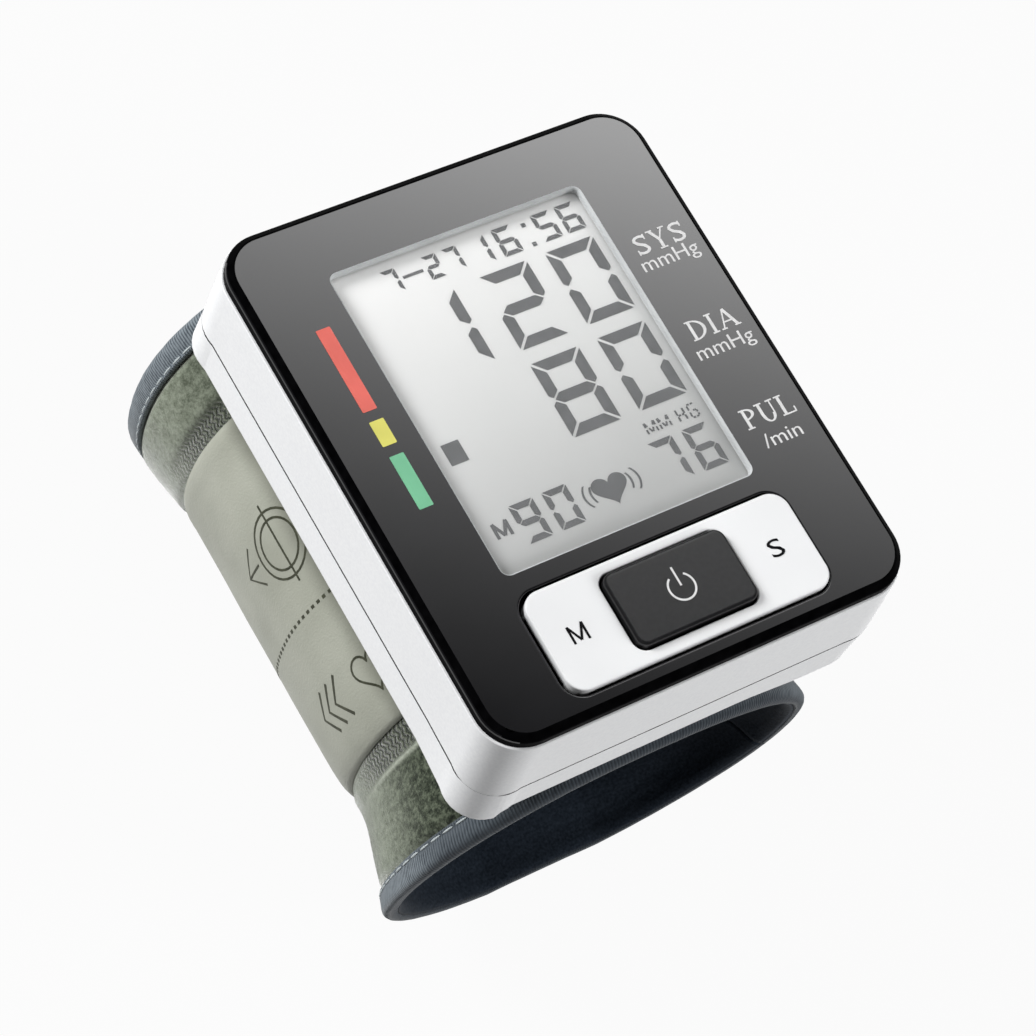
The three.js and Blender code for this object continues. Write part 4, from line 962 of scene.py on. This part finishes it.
def slab(half, low, high, radius, bottom, top, x):
    """A flat piece with rounded corners."""
    bm = bmesh.new()
    draw_up(bm, rounded_face(bm, half, low, high, radius, bottom, x), top)
    return bm


def window_slab(grow, radius, bottom, top):
    """A flat piece as large as the window, or larger by so much on each side."""
    low, high = WINDOW_YS
    return slab(WINDOW_HALF_WIDTH + grow, low - grow, high + grow, radius, bottom, top, WINDOW_X)


lcd_grey = finish("lcd_grey", {"Roughness": 0.35})
lcd_place = node(lcd_grey, "SeparateXYZ", {"Vector": place_on(lcd_grey)}).outputs
# painted light: lighter towards the far end and the left, against the shade that the window's edges cast
lcd_light_axis = maths(lcd_grey, "MULTIPLY_ADD", lcd_place["X"], -0.2, lcd_place["Y"])
lcd_light_share = share_of(lcd_grey, lcd_light_axis, *(y / 1000 for y in WINDOW_YS))
lcd_tone = maths(lcd_grey, "MULTIPLY_ADD", cloud(lcd_grey, place_on(lcd_grey), 60, 1), 0.1, lcd_light_share)
lcd_colours = (0.05, 172, 173, 172), (0.5, 212, 213, 212), (1.0, 240, 240, 239)
coat(lcd_grey, {"Base Color": ramp(lcd_grey, lcd_tone, *lcd_colours)})
glass = window_slab(GLASS_LAP, GLASS_CORNER, GLASS_TOP - GLASS_THICKNESS, GLASS_TOP)
settle("display_glass", glass, lcd_grey, "monitor", "lcd_glass", "lcd_panel", smooth=False)

# Reading: the dark segments of the liquid crystal, a blood pressure, a pulse, a date and a time.
# Each digit is made of up to seven mitred bars, printed as electrodes inside the glass.
LCD_INK = GLASS_TOP + 0.02
INK_HEIGHT = 0.03
LAYER = 0.004  # strokes that cross lie this far above each other
SEGMENTS = {
    "0": "abcdef", "1": "bc", "2": "abdeg", "5": "acdfg", "6": "acdefg",
    "7": "abc", "8": "abcdefg", "9": "abcdfg",
}
BARS = {  # a bar's two ends, as shares of the digit's width and height, and the way inward
    "a": ((0, 1), (1, 1), (0, -1)),
    "b": ((1, 1), (1, 0.5), (-1, 0)),
    "c": ((1, 0), (1, 0.5), (-1, 0)),
    "d": ((0, 0), (1, 0), (0, 1)),
    "e": ((0, 0), (0, 0.5), (1, 0)),
    "f": ((0, 1), (0, 0.5), (1, 0)),
}
BAR_GAP = 0.17  # between bars, as a share of the stroke
COLON_STEP = 2.3
COLON_INSET = 0.62
COLON_LEVELS = (0.0, 0.72)
DASH_REACH = 0.4
LETTER_M = [(0, 0), (0, 1), (0.5, 0.1), (1, 1), (1, 0)]
LETTER_H = [(0, 0), (0, 1), (0, 0.5), (1, 0.5), (1, 1), (1, 0)]
LETTER_G = [(1, 1), (0, 1), (0, 0), (1, 0), (1, 0.5), (0.5, 0.5)]


def flat_shape(bm, corners, z):
    """A thin raised shape from a few corners in order."""
    face = bm.faces.new([bm.verts.new((x, y, z)) for x, y in corners])
    draw_up(bm, face, z + INK_HEIGHT)


def box_shape(bm, left, right, low, high, z):
    flat_shape(bm, [(left, low), (right, low), (right, high), (left, high)], z)


def line(bm, start, end, width, z):
    """A straight printed stroke."""
    first, last = Vector(start), Vector(end)
    across = (last - first).orthogonal().normalized() * width / 2
    flat_shape(bm, [first + across, first - across, last - across, last + across], z)


def bar(bm, start, end, stroke, inward):
    """One mitred bar of a digit, its long side from start to end, its short side the stroke's width inward.
    An upright's last end is pointed, where two uprights meet."""
    along = (end - start).normalized()
    first, last = start + along * stroke * BAR_GAP, end - along * stroke * BAR_GAP
    inner = inward * stroke
    corners = [first, last, last + inner - along * stroke]
    if inward.x:
        corners[1:] = [last - along * stroke * 0.3, last + inner * 0.35, last + inner - along * stroke * 0.55]
    flat_shape(bm, corners + [first + inner + along * stroke], LCD_INK)


def digit(bm, sign, x, y, width, height, stroke):
    """A seven segment digit whose box starts at x and y."""
    for name in SEGMENTS[sign]:
        if name == "g":
            right, middle = x + width, y + height / 2
            low, high = middle - stroke / 2, middle + stroke / 2
            left_end = [(x + stroke, low), (x + stroke * 0.4, middle), (x + stroke, high)]
            right_end = [(right - stroke, high), (right - stroke * 0.4, middle), (right - stroke, low)]
            flat_shape(bm, left_end + right_end, LCD_INK)
        else:
            *ends, inward = BARS[name]
            start, end = (Vector((x + width * across, y + height * up)) for across, up in ends)
            bar(bm, start, end, stroke, Vector(inward))


def number(bm, text, x, y, width, height, stroke, pitch):
    """A row of digits; pitch is the step from one to the next, a colon takes less."""
    for sign in text:
        if sign == ":":
            left = x + COLON_INSET
            for low in (y + height * level for level in COLON_LEVELS):
                box_shape(bm, left, left + stroke, low, low + stroke, LCD_INK)
        elif sign == "-":
            ends = [(across, y + height / 2) for across in (x - DASH_REACH, x + width + DASH_REACH)]
            line(bm, *ends, stroke * 0.8, LCD_INK)
        else:
            digit(bm, sign, x, y, width, height, stroke)
        x += COLON_STEP if sign == ":" else pitch


def plain_letter(bm, points, box, width, z, spans=((0, 1),)):
    """A letter of straight strokes through points of a box of left, right, low and high.
    spans are the shares of each stroke that are drawn."""
    left, right, low, high = box
    corners = [Vector((left + (right - left) * across, low + (high - low) * up)) for across, up in points]
    for layer, (start, end) in enumerate(zip(corners, corners[1:])):
        for first, last in spans:
            line(bm, start.lerp(end, first), start.lerp(end, last), width, z + layer * LAYER)


def bow(bm, x, y, radius, height, stroke, side):
    """A thin bracket, as drawn beside a beating heart."""
    reach = math.asin(min(height / 2 / radius, 1))
    outer = arc_points((x - side * radius, y), side * radius, radius, spread(-reach, reach, 12))
    inner = [(across - side * stroke, up) for across, up in reversed(outer)]
    flat_shape(bm, outer + inner, LCD_INK)


reading = bmesh.new()
for text, *place in (  # left, low, width, height, stroke and pitch of the digits
    ("1", -11.03, 9.77, 7.05, 10.9, 1.5, 9.74),
    ("20", -0.36, 9.77, 7.05, 10.9, 1.5, 9.74),
    ("80", -0.42, -3.11, 7.05, 10.8, 1.5, 9.74),
    ("7-27", -11.6, 22.55, 2.05, 3.3, 0.5, 2.93),
    ("1", 0.55, 22.0, 2.7, 4.0, 0.58, 3.5),
    ("6:56", 4.5, 22.0, 2.7, 4.0, 0.58, 3.5),
    ("76", 7.59, -13.37, 3.6, 5.95, 0.82, 5.05),
    ("90", -12.75, -13.4, 3.4, 5.35, 0.8, 4.7),
):
    number(reading, text, *place)
box_shape(reading, -16.31, -13.88, -0.72, 2.2, LCD_INK)
flat_shape(reading, heart_points(0.42, -11.05, 4.9 / 32, 4.0 / 29, lift=2.5)[::-1], LCD_INK)
for side, place, tall in ((-1, -2.5, 2.2), (-1, -3.5, 3.0), (1, 3.5, 2.2), (1, 4.6, 3.0)):
    bow(reading, place, -10.75, 2.2, tall, 0.27, side)
for letter, left, right in (
    (LETTER_M, 8.7, 10.1),
    (LETTER_M, 10.65, 12.05),
    (LETTER_H, 13.4, 14.4),
    (LETTER_G, 15.1, 16.1),
):
    plain_letter(reading, letter, (left, right, -6.45, -4.65), 0.24, LCD_INK, ((0.08, 0.42), (0.58, 0.92)))
plain_letter(reading, LETTER_M, (-15.8, -13.95, -11.4, -9.35), 0.42, LCD_INK)
lcd_ink = mottled("lcd_ink", {"Roughness": 0.5}, 400, 1, (70, 71, 73), (82, 83, 85))
settle("reading", reading, lcd_ink, "monitor", "lcd_glass", smooth=False)

# Upper casing: the shell that carries the face plate, moulded in the same white ABS as the tray.
# It has a fine rounded rim, and its deck is open under the panel.
RIM_ROUND = 0.18
RIM_WIDTH = 3.2
SHELL_WALL = 1.6

shell_seam = SEAM + SEAM_GAP / 2
shell = half_casing(shell_seam, RIM_TOP, RIM_ROUND, 4, side=0.3, front=-0.4, back=0.3)
deck = max(shell.faces, key=lambda face: face.calc_center_median().z + face.calc_area() * 0.001)
bmesh.ops.inset_region(shell, faces=[deck], thickness=RIM_WIDTH, use_even_offset=True)
bmesh.ops.delete(shell, geom=[deck], context="FACES")
open_door_space(shell)
flare_corners(shell)
close_casing(shell, shell_seam, SHELL_WALL, "casing_shell", "upper_casing")

# Battery door: a panel of the right wall, moulded in the same white ABS, that slides down off the cells.
# Five ribs on its outside give the thumb a hold.
DOOR_HALF_LENGTH = 24.2
DOOR_TOP = 64.9
DOOR_THICKNESS = 1.6
DOOR_XS = (29.9, 30.0, 30.2)  # of its outside at the foot, the seam and the top
DOOR_FOOT = CASING_BOTTOM + 0.05
RIB_PLACE = (30.12, 60.2)  # X and Z of the lowest rib
RIB_PITCH = 0.85
RIB_SHAPE = (0.22, 7.0, 0.26, 1)

door = bmesh.new()
foot_middle = (DOOR_XS[0] - FOOT_ROUND, DOOR_FOOT + FOOT_ROUND)
door_profile = arc_points(foot_middle, FOOT_ROUND, FOOT_ROUND, spread(-math.pi / 2, 0, 6))
door_profile += [(DOOR_XS[1], SEAM), (DOOR_XS[2], DOOR_TOP)]
rail = [door.verts.new((x, -DOOR_HALF_LENGTH, z)) for x, z in door_profile]
rail_edges = [door.edges.new(pair) for pair in zip(rail, rail[1:])]
drawn = bmesh.ops.extrude_edge_only(door, edges=rail_edges)["geom"]
bmesh.ops.translate(door, vec=(0, 2 * DOOR_HALF_LENGTH, 0), verts=verts_of(drawn))
bmesh.ops.recalc_face_normals(door, faces=door.faces)
if sum(face.normal.x * face.calc_area() for face in door.faces) < 0:
    bmesh.ops.reverse_faces(door, faces=door.faces)
bmesh.ops.solidify(door, geom=door.faces[:], thickness=DOOR_THICKNESS)
for rib in range(5):
    place = Matrix.Translation((RIB_PLACE[0], 0, RIB_PLACE[1] + rib * RIB_PITCH)) @ Matrix.Diagonal(RIB_SHAPE)
    bmesh.ops.create_uvsphere(door, u_segments=16, v_segments=10, radius=1, matrix=place)
settle("door", door, satin_white, "cell_door", "white_plastic", "battery_door", rigid=True)

# Face plate: a thick black acrylic panel, glossy, with bevelled edges, bonded on the upper casing.
# The window's edge is painted pale grey, as painted light from the display under it.
PLATE_CORNER = 5.8
PLATE_FOOT = RIM_TOP + 0.05
PLATE_SKIN = FACE_TOP - 1.1  # underside of the panel inside its skirt
PLATE_SKIRT = 2.2
# Edges, from below: heights under the face's top, and how far they stand out there
PLATE_EDGE = [(-0.9, 0), (-0.68, -0.05), (-0.55, -0.2), (-0.14, -0.72), (-0.04, -0.86), (0, -1.05), (0, -1.2)]
WINDOW_EDGE = [(-0.28, 0), (-0.1, 0.06), (0, 0.22), (0, 0.36)]
KEY_OPENING_EDGE = [(-0.1, 0), (0, 0.1), (0, 0.24)]
POLISHED_EDGE = (71.12, 71.4)  # the left edge is polished between these heights
WINDOW_CORNER = 1.0
KEY_HALF_WIDTH = 18.95
KEY_YS = (-33.25, -19.35)
KEY_CORNER = 2.6
FIT_GAP = 0.3


def outline(bm, *sizes, **place):
    """The edges of a rounded rectangle, with no face in it."""
    face = rounded_face(bm, *sizes, **place)
    edges = face.edges[:]
    bmesh.ops.delete(bm, geom=[face], context="FACES_ONLY")
    return edges


def grown(size, grow):
    half, low, high, radius = size
    return half + grow, low - grow, high + grow, radius + grow


def wall_of(bm, size, foot, top, edge, x=0.0, share=1.0):
    """A wall along a rounded rectangle, from its foot through (height, growth) levels of an edge.
    It gives its first and last edges."""
    levels = [(foot, 0)] + [(top + z, grow * share) for z, grow in edge]
    loops = [outline(bm, *grown(size, grow), z, x=x) for z, grow in levels]
    for one, other in zip(loops, loops[1:]):
        bmesh.ops.bridge_loops(bm, edges=one + other)
    return loops[0], loops[-1]


def fill_between(bm, edges, up):
    bmesh.ops.triangle_fill(bm, use_beauty=True, edges=edges, normal=(0, 0, up))


def within(place, x, half, ys, margin):
    """Whether a place lies in a rectangle, or near it."""
    return abs(place.x - x) < half + margin and ys[0] - margin < place.y < ys[1] + margin


plate = bmesh.new()
plate_size = (FACE_HALF_WIDTH, -FACE_HALF_LENGTH, FACE_HALF_LENGTH, PLATE_CORNER)
window_size = (WINDOW_HALF_WIDTH, *WINDOW_YS, WINDOW_CORNER)
key_size = (KEY_HALF_WIDTH, *KEY_YS, KEY_CORNER)
plate_low, plate_high = wall_of(plate, plate_size, PLATE_FOOT, FACE_TOP, PLATE_EDGE)
window_low, window_high = wall_of(plate, window_size, PLATE_SKIN, FACE_TOP, WINDOW_EDGE, WINDOW_X)
key_low, key_high = wall_of(plate, grown(key_size, FIT_GAP), PLATE_SKIN, FACE_TOP, KEY_OPENING_EDGE)
recess_low, recess_high = wall_of(plate, grown(plate_size, -PLATE_SKIRT), PLATE_FOOT, PLATE_SKIN, [(0, 0)])
fill_between(plate, plate_high + window_high + key_high, 1)
fill_between(plate, recess_high + window_low + key_low, -1)
bmesh.ops.bridge_loops(plate, edges=plate_low + recess_low)
bmesh.ops.recalc_face_normals(plate, faces=plate.faces)
for face in plate.faces:
    middle = face.calc_center_median()
    at_key = within(middle, 0, KEY_HALF_WIDTH, KEY_YS, 0.5)
    on_top = middle.z > FACE_TOP - (0.11 if at_key else 0.01)
    on_left_edge = POLISHED_EDGE[0] < middle.z < POLISHED_EDGE[1] and face.normal.x < -0.5
    if within(middle, WINDOW_X, WINDOW_HALF_WIDTH, WINDOW_YS, 0.2) and middle.z < FACE_TOP - 0.01:
        face.material_index = 2
    elif not (on_top or on_left_edge):
        face.material_index = 1
part_by_finish(plate)

gloss_look = {"Roughness": 0.09, "Coat Weight": 0.3}
edge_look = {"Roughness": 0.45, "Specular IOR Level": 0.01}
black_gloss = mottled("black_gloss", gloss_look, 120, 2, (20, 20, 22), (24, 24, 26))
panel_edge = mottled("panel_edge", edge_look, 700, 1, (10, 10, 11), (16, 16, 17))
window_edge = mottled("window_edge", {"Roughness": 0.4}, 300, 1, (190, 193, 194), (200, 203, 204))
panel = settle("panel", plate, black_gloss, "monitor", "black_gloss", "face_plate", rigid=True)
panel.data.materials.append(panel_edge)
panel.data.materials.append(window_edge)

# Window: a clear acrylic sheet over the display.
# It is let into the panel and bonded there.
SHEET_GAP = 0.05
SHEET_CORNER = 0.95
SHEET_ZS = (70.9, 71.6)

sheet_look = {"Roughness": 0.05, "Alpha": 0.06}
clear_sheet = mottled("clear_sheet", sheet_look, 200, 2, (228, 230, 230), (236, 238, 238))
sheet = window_slab(-SHEET_GAP, SHEET_CORNER, *SHEET_ZS)
settle("window", sheet, clear_sheet, "monitor", "clear_window", "display_window", smooth=False)

# Prints on the panel: white words for the three readings and their units, and three coloured bars.
# They are screen printed; the words have thick and thin strokes with feet, the units are plain.
PRINT = FACE_TOP + 0.01
THICK = 0.42
THIN = 0.2
TICK = 0.28  # height of the ticks of an S, as a share of the letter's
BAR_X = -22.53
BAR_HALF_WIDTH = 0.98
BAR_CORNER = 0.15
# Letters with feet, in a box one wide and one high: thick strokes, thin strokes, feet (x, y, half width),
# and bowls (x, y, radius across, radius up, first and last degree)
FOOTED = {
    "Y": (
        [(0.18, 1, 0.5, 0.45), (0.5, 0.45, 0.5, 0)], [(0.84, 1, 0.5, 0.45)],
        [(0.17, 1, 0.17), (0.84, 1, 0.16), (0.5, 0, 0.2)], [],
    ),
    "D": (
        [(0.2, 0, 0.2, 1)], [],
        [(0.15, 1, 0.15), (0.15, 0, 0.15)], [(0.2, 0.5, 0.78, 0.5, -90, 90)],
    ),
    "I": (
        [(0.5, 0, 0.5, 1)], [],
        [(0.5, 1, 0.45), (0.5, 0, 0.45)], [],
    ),
    "A": (
        [(0.84, 0, 0.48, 1)], [(0.14, 0, 0.47, 1), (0.26, 0.33, 0.72, 0.33)],
        [(0.14, 0, 0.14), (0.84, 0, 0.16)], [],
    ),
    "P": (
        [(0.25, 0, 0.25, 1)], [],
        [(0.17, 1, 0.17), (0.25, 0, 0.25)], [(0.25, 0.74, 0.7, 0.26, -90, 90)],
    ),
    "U": (
        [(0.2, 1, 0.2, 0.35)], [(0.82, 1, 0.82, 0.35)],
        [(0.2, 1, 0.2), (0.82, 1, 0.18)], [(0.5, 0.36, 0.36, 0.38, 180, 360)],
    ),
    "L": (
        [(0.25, 0, 0.25, 1)], [(0.25, 0, 0.98, 0), (0.96, 0, 0.96, 0.26)],
        [(0.25, 1, 0.25), (0.15, 0, 0.15)], [],
    ),
}


def lettering(bm, text, box, z):
    """Letters in Blender's own font, made a mesh, fitted to a box of left, right, low and high, and added."""
    curve = bpy.data.curves.new(text, "FONT")
    curve.body = text
    curve.resolution_u = 3
    written = bpy.data.objects.new(text, curve)
    bpy.context.scene.collection.objects.link(written)
    drawn = written.evaluated_get(bpy.context.evaluated_depsgraph_get())
    letters = bmesh.new()
    letters.from_mesh(drawn.to_mesh())
    bpy.data.objects.remove(written)
    bpy.data.curves.remove(curve)
    xs, ys = ([vert.co[axis] for vert in letters.verts] for axis in (0, 1))
    left, right, low, high = box
    for vert in letters.verts:
        across = (vert.co.x - min(xs)) / (max(xs) - min(xs))
        up = (vert.co.y - min(ys)) / (max(ys) - min(ys))
        vert.co = (left + (right - left) * across, low + (high - low) * up, z)
    thicken(letters, INK_HEIGHT)
    carried = bpy.data.meshes.new("carried")
    letters.to_mesh(carried)
    letters.free()
    bm.from_mesh(carried)
    bpy.data.meshes.remove(carried)


def footed_letter(bm, sign, box, z):
    """One capital with feet, or an S in Blender's own font with a tick at each end."""
    left, right, low, high = box
    wide, tall = right - left, high - low
    if sign == "S":
        lettering(bm, "S", box, z)
        line(bm, (right - 0.14, high), (right - 0.14, high - TICK * tall), THIN, z + LAYER)
        line(bm, (left + 0.1, low), (left + 0.1, low + TICK * tall), THIN, z + LAYER)
        return
    thick, thin, feet, bowls = FOOTED[sign]
    strokes = [(stroke, THICK) for stroke in thick] + [(stroke, THIN) for stroke in thin]
    strokes += [((x - half, y, x + half, y), THIN) for x, y, half in feet]
    for layer, ((x0, y0, x1, y1), width) in enumerate(strokes):
        start, end = (left + wide * x0, low + tall * y0), (left + wide * x1, low + tall * y1)
        line(bm, start, end, width, z + layer * LAYER)
    for x, y, across, up, first, last in bowls:
        middle = (left + wide * x, low + tall * y)
        turns = spread(math.radians(first), math.radians(last), 16)
        inner = arc_points(middle, wide * across - THICK, tall * up - THIN / 2, turns)
        outer = arc_points(middle, wide * across, tall * up + THIN / 2, turns)
        flat_shape(bm, inner + outer[::-1], z - LAYER)


words = bmesh.new()
for text, x, y, width, height in (
    ("mmHg", 23.55, 13.55, 8.3, 2.6),
    ("mmHg", 23.6, 0.1, 8.3, 2.6),
    ("/min", 23.66, -13.3, 5.5, 1.9),
):
    lettering(words, text, (x - width / 2, x + width / 2, y - height / 2, y + height / 2), PRINT)
for y, tall, letters in (
    (16.55, 2.7, (("S", 20.0, 21.9), ("Y", 22.25, 24.95), ("S", 25.3, 27.2))),
    (3.5, 2.6, (("D", 20.1, 22.6), ("I", 22.95, 24.05), ("A", 24.35, 27.2))),
    (-9.8, 2.6, (("P", 20.0, 22.0), ("U", 22.3, 24.95), ("L", 25.25, 27.3))),
):
    for sign, left, right in letters:
        footed_letter(words, sign, (left, right, y - tall / 2, y + tall / 2), PRINT)
white_print = mottled("white_print", {"Roughness": 0.5}, 900, 1, (214, 214, 214), (226, 226, 226))
settle("words", words, white_print, "monitor", "black_gloss", smooth=False)

for name, colour, low, high in (
    ("red_bar", (225, 110, 100), 9.10, 21.03),
    ("yellow_bar", (220, 215, 110), 4.18, 7.70),
    ("green_bar", (120, 190, 150), -4.76, 2.73),
):
    printed = mottled(name, {"Roughness": 0.45}, 300, 1, [0.95 * level for level in colour], colour)
    stripe = slab(BAR_HALF_WIDTH, low, high, BAR_CORNER, PRINT, PRINT + INK_HEIGHT, BAR_X)
    settle(name, stripe, printed, "monitor", "black_gloss", smooth=False)

# Key plate: a moulded white rocker round the power button, pressed at its M end or at its S end.
# Its letters are printed in black.
KEY_TOP = 72.4
KEY_BOTTOM = 69.4
KEY_X = 0.3  # the face of the key lies a little to the right in its opening
KEY_INSET = 0.12
KEY_EDGE = [(-0.26, 0), (-0.13, -0.02), (-0.05, -0.07), (-0.01, -0.15), (0, -0.26), (0, -0.36)]
KEY_PRINT = KEY_TOP + 0.01
POWER_X = 0.3
POWER_HALF_WIDTH = 8.65
POWER_YS = (-31.25, -21.2)
POWER_CORNER = 1.4

rocker = bmesh.new()
power_size = (POWER_HALF_WIDTH, *POWER_YS, POWER_CORNER)
outer_low, outer_high = wall_of(rocker, grown(key_size, -KEY_INSET), KEY_BOTTOM, KEY_TOP, KEY_EDGE, KEY_X)
power_opening = grown(power_size, FIT_GAP)
inner_low, inner_high = wall_of(rocker, power_opening, KEY_BOTTOM, KEY_TOP, KEY_EDGE, POWER_X, share=-0.8)
fill_between(rocker, outer_high + inner_high, 1)
fill_between(rocker, outer_low + inner_low, -1)
bmesh.ops.recalc_face_normals(rocker, faces=rocker.faces)
key_white = mottled("key_white", {"Roughness": 0.28}, 60, 2, (230, 231, 232), (240, 241, 242))
settle("rocker", rocker, key_white, "mode_key", "white_plastic", "mode_rocker", rigid=True)

ink_look = {"Roughness": 0.6, "Specular IOR Level": 0.1}
key_ink = mottled("key_ink", ink_look, 900, 1, (20, 20, 22), (28, 28, 30))
key_letters = bmesh.new()
lettering(key_letters, "S", (13.4, 15.3, -27.45, -25.1), KEY_PRINT)
plain_letter(key_letters, LETTER_M, (-15.1, -13.1, -27.4, -25.1), 0.3, KEY_PRINT)
settle("key_letters", key_letters, key_ink, "mode_key", "white_plastic", smooth=False)

# Power button: a black moulded push button with rounded edges, guided by the key plate round it.
# It is printed with the usual on and off sign.
POWER_TOP = 73.2
POWER_BOTTOM = 68.4
POWER_EDGE = [(-0.4, 0), (-0.2, -0.04), (-0.08, -0.13), (-0.02, -0.26), (0, -0.4), (0, -0.5)]
POWER_PRINT = POWER_TOP + 0.01
SIGN_X = 0.34
SIGN_Y = -25.94
SIGN_RING = (SIGN_X, SIGN_Y - 0.35)  # middle of its open ring
SIGN_RADIUS = 1.75
SIGN_STROKE = 0.26
SIGN_STEM = (-0.2, 2.35)
SIGN_OPENING = 35  # degrees either side of the stem

button = bmesh.new()
for edges in wall_of(button, power_size, POWER_BOTTOM, POWER_TOP, POWER_EDGE, POWER_X):
    bmesh.ops.edgeloop_fill(button, edges=edges)
bmesh.ops.recalc_face_normals(button, faces=button.faces)
button_black = mottled("button_black", {"Roughness": 0.3}, 1500, 2, (30, 30, 31), (36, 36, 37))
settle("button", button, button_black, "power_key", "black_gloss", "power_button", rigid=True)

sign = bmesh.new()
turns = spread(math.radians(90 + SIGN_OPENING), math.radians(450 - SIGN_OPENING), 36)
sign_radii = (SIGN_RADIUS + SIGN_STROKE / 2, SIGN_RADIUS - SIGN_STROKE / 2)
ring_outer, ring_inner = (arc_points(SIGN_RING, radius, radius, turns) for radius in sign_radii)
flat_shape(sign, ring_outer + ring_inner[::-1], POWER_PRINT)
stem_low, stem_high = (SIGN_Y + y for y in SIGN_STEM)
box_shape(sign, SIGN_X - SIGN_STROKE / 2, SIGN_X + SIGN_STROKE / 2, stem_low, stem_high, POWER_PRINT)
settle("power_sign", sign, white_print, "power_key", "black_gloss", smooth=False)

# Floor: a plain white table, which keeps a faint shadow.
# It looks white to the camera and in gloss, and throws only a little light back on the object.
FLOOR_GLOW = 0.95
FLOOR_SHADE = 0.34
FLOOR_REACH = 3  # metres each way


def bare_material(name):
    """A material with no shader in it yet."""
    material = bpy.data.materials.new(name)
    material.use_nodes = True
    material.node_tree.nodes.clear()
    return material


floor_paint = bare_material("floor_paint")
ray = node(floor_paint, "LightPath", {}).outputs
seen = ray["Is Camera Ray"]
for kind in ("Is Glossy Ray", "Is Transmission Ray"):
    seen = maths(floor_paint, "MAXIMUM", seen, ray[kind])
glowing = maths(floor_paint, "MULTIPLY", seen, FLOOR_GLOW)
matt = node(floor_paint, "BsdfDiffuse", {"Color": (FLOOR_SHADE, FLOOR_SHADE, FLOOR_SHADE, 1)}).outputs["BSDF"]
white = node(floor_paint, "Emission", {"Color": (1, 1, 1, 1), "Strength": 1.0}).outputs["Emission"]
mixed = node(floor_paint, "MixShader", {0: glowing, 1: matt, 2: white}).outputs["Shader"]
node(floor_paint, "OutputMaterial", {"Surface": mixed})
ground = bmesh.new()
bmesh.ops.create_grid(ground, x_segments=1, y_segments=1, size=FLOOR_REACH)
floor = as_object("floor", ground, floor_paint)

# Light: a soft white sky and three large lamps round the object.
# A graded card, which only gloss reflects, puts the sheen on the panel.
SKY_STRENGTH = 0.07
LAMP_AIM = Vector((0, 0, 0.05))
CARD_HEIGHT = 0.5
CARD_X = (0.10, 0.36)
CARD_Y = (0.05, 0.29)
CARD_TURN = math.radians(56.9)  # the way it grows lighter, from +X
CARD_RUN = (0.1247, 0.3478)  # metres that way, from dark to light
CARD_RISE = 2.2
CARD_STRENGTH = 6.5

world = bpy.data.worlds.new("studio")
bpy.context.scene.world = world
world.use_nodes = True
sky = world.node_tree.nodes["Background"]
sky.inputs["Color"].default_value = (1, 1, 1, 1)
sky.inputs["Strength"].default_value = SKY_STRENGTH

for name, place, size, power in (
    ("left", (-0.64, 0.64, 0.53), 0.4, 13.3),
    ("front", (0.62, -0.66, 0.5), 0.4, 7.6),
    ("top", (-0.22, 0.1, 0.96), 0.6, 1.2),
):
    light = bpy.data.lights.new(name, "AREA")
    light.size = size
    light.energy = power
    lamp = bpy.data.objects.new(name, light)
    lamp.location = place
    lamp.rotation_euler = (LAMP_AIM - Vector(place)).to_track_quat("-Z", "Y").to_euler()
    lamp.visible_glossy = False
    bpy.context.scene.collection.objects.link(lamp)

card_glow = bare_material("card_glow")
across_card = place_on(card_glow, turn=(0, 0, -CARD_TURN))
along_card = node(card_glow, "SeparateXYZ", {"Vector": across_card}).outputs["X"]
rising = maths(card_glow, "POWER", share_of(card_glow, along_card, *CARD_RUN), CARD_RISE)
strength = maths(card_glow, "MULTIPLY", rising, CARD_STRENGTH)
glow = node(card_glow, "Emission", {"Color": (1, 1, 1, 1), "Strength": strength})
node(card_glow, "OutputMaterial", {"Surface": glow.outputs["Emission"]})
card = bmesh.new()
bmesh.ops.create_grid(card, x_segments=1, y_segments=1, size=0.5)
bmesh.ops.scale(card, vec=(CARD_X[1] - CARD_X[0], CARD_Y[1] - CARD_Y[0], 1), verts=card.verts)
bmesh.ops.translate(card, vec=(sum(CARD_X) / 2, sum(CARD_Y) / 2, CARD_HEIGHT), verts=card.verts)
reflector = as_object("card", card, card_glow)
reflector.visible_camera = False
reflector.visible_diffuse = False
reflector.visible_shadow = False

# Camera: above the front left corner of the face, turned a little about its own axis.
# It has a long lens and stands a little under half a metre off.
CAMERA_PLACE = Vector((-0.198221, -0.138731, 0.441413))
CAMERA_AIM = Vector((-0.012997, -0.012375, 0.072))
CAMERA_ROLL = math.radians(29.04)
lens = bpy.data.cameras.new("camera")
lens.lens = 127.82
lens.sensor_width = 36
lens.clip_start = 0.01
camera = bpy.data.objects.new("camera", lens)
look = (CAMERA_AIM - CAMERA_PLACE).to_track_quat("-Z", "Y").to_matrix().to_4x4()
camera.matrix_world = Matrix.Translation(CAMERA_PLACE) @ look @ Matrix.Rotation(CAMERA_ROLL, 4, "Z")
bpy.context.scene.collection.objects.link(camera)
bpy.context.scene.camera = camera
bpy.context.scene.view_settings.view_transform = "Standard"
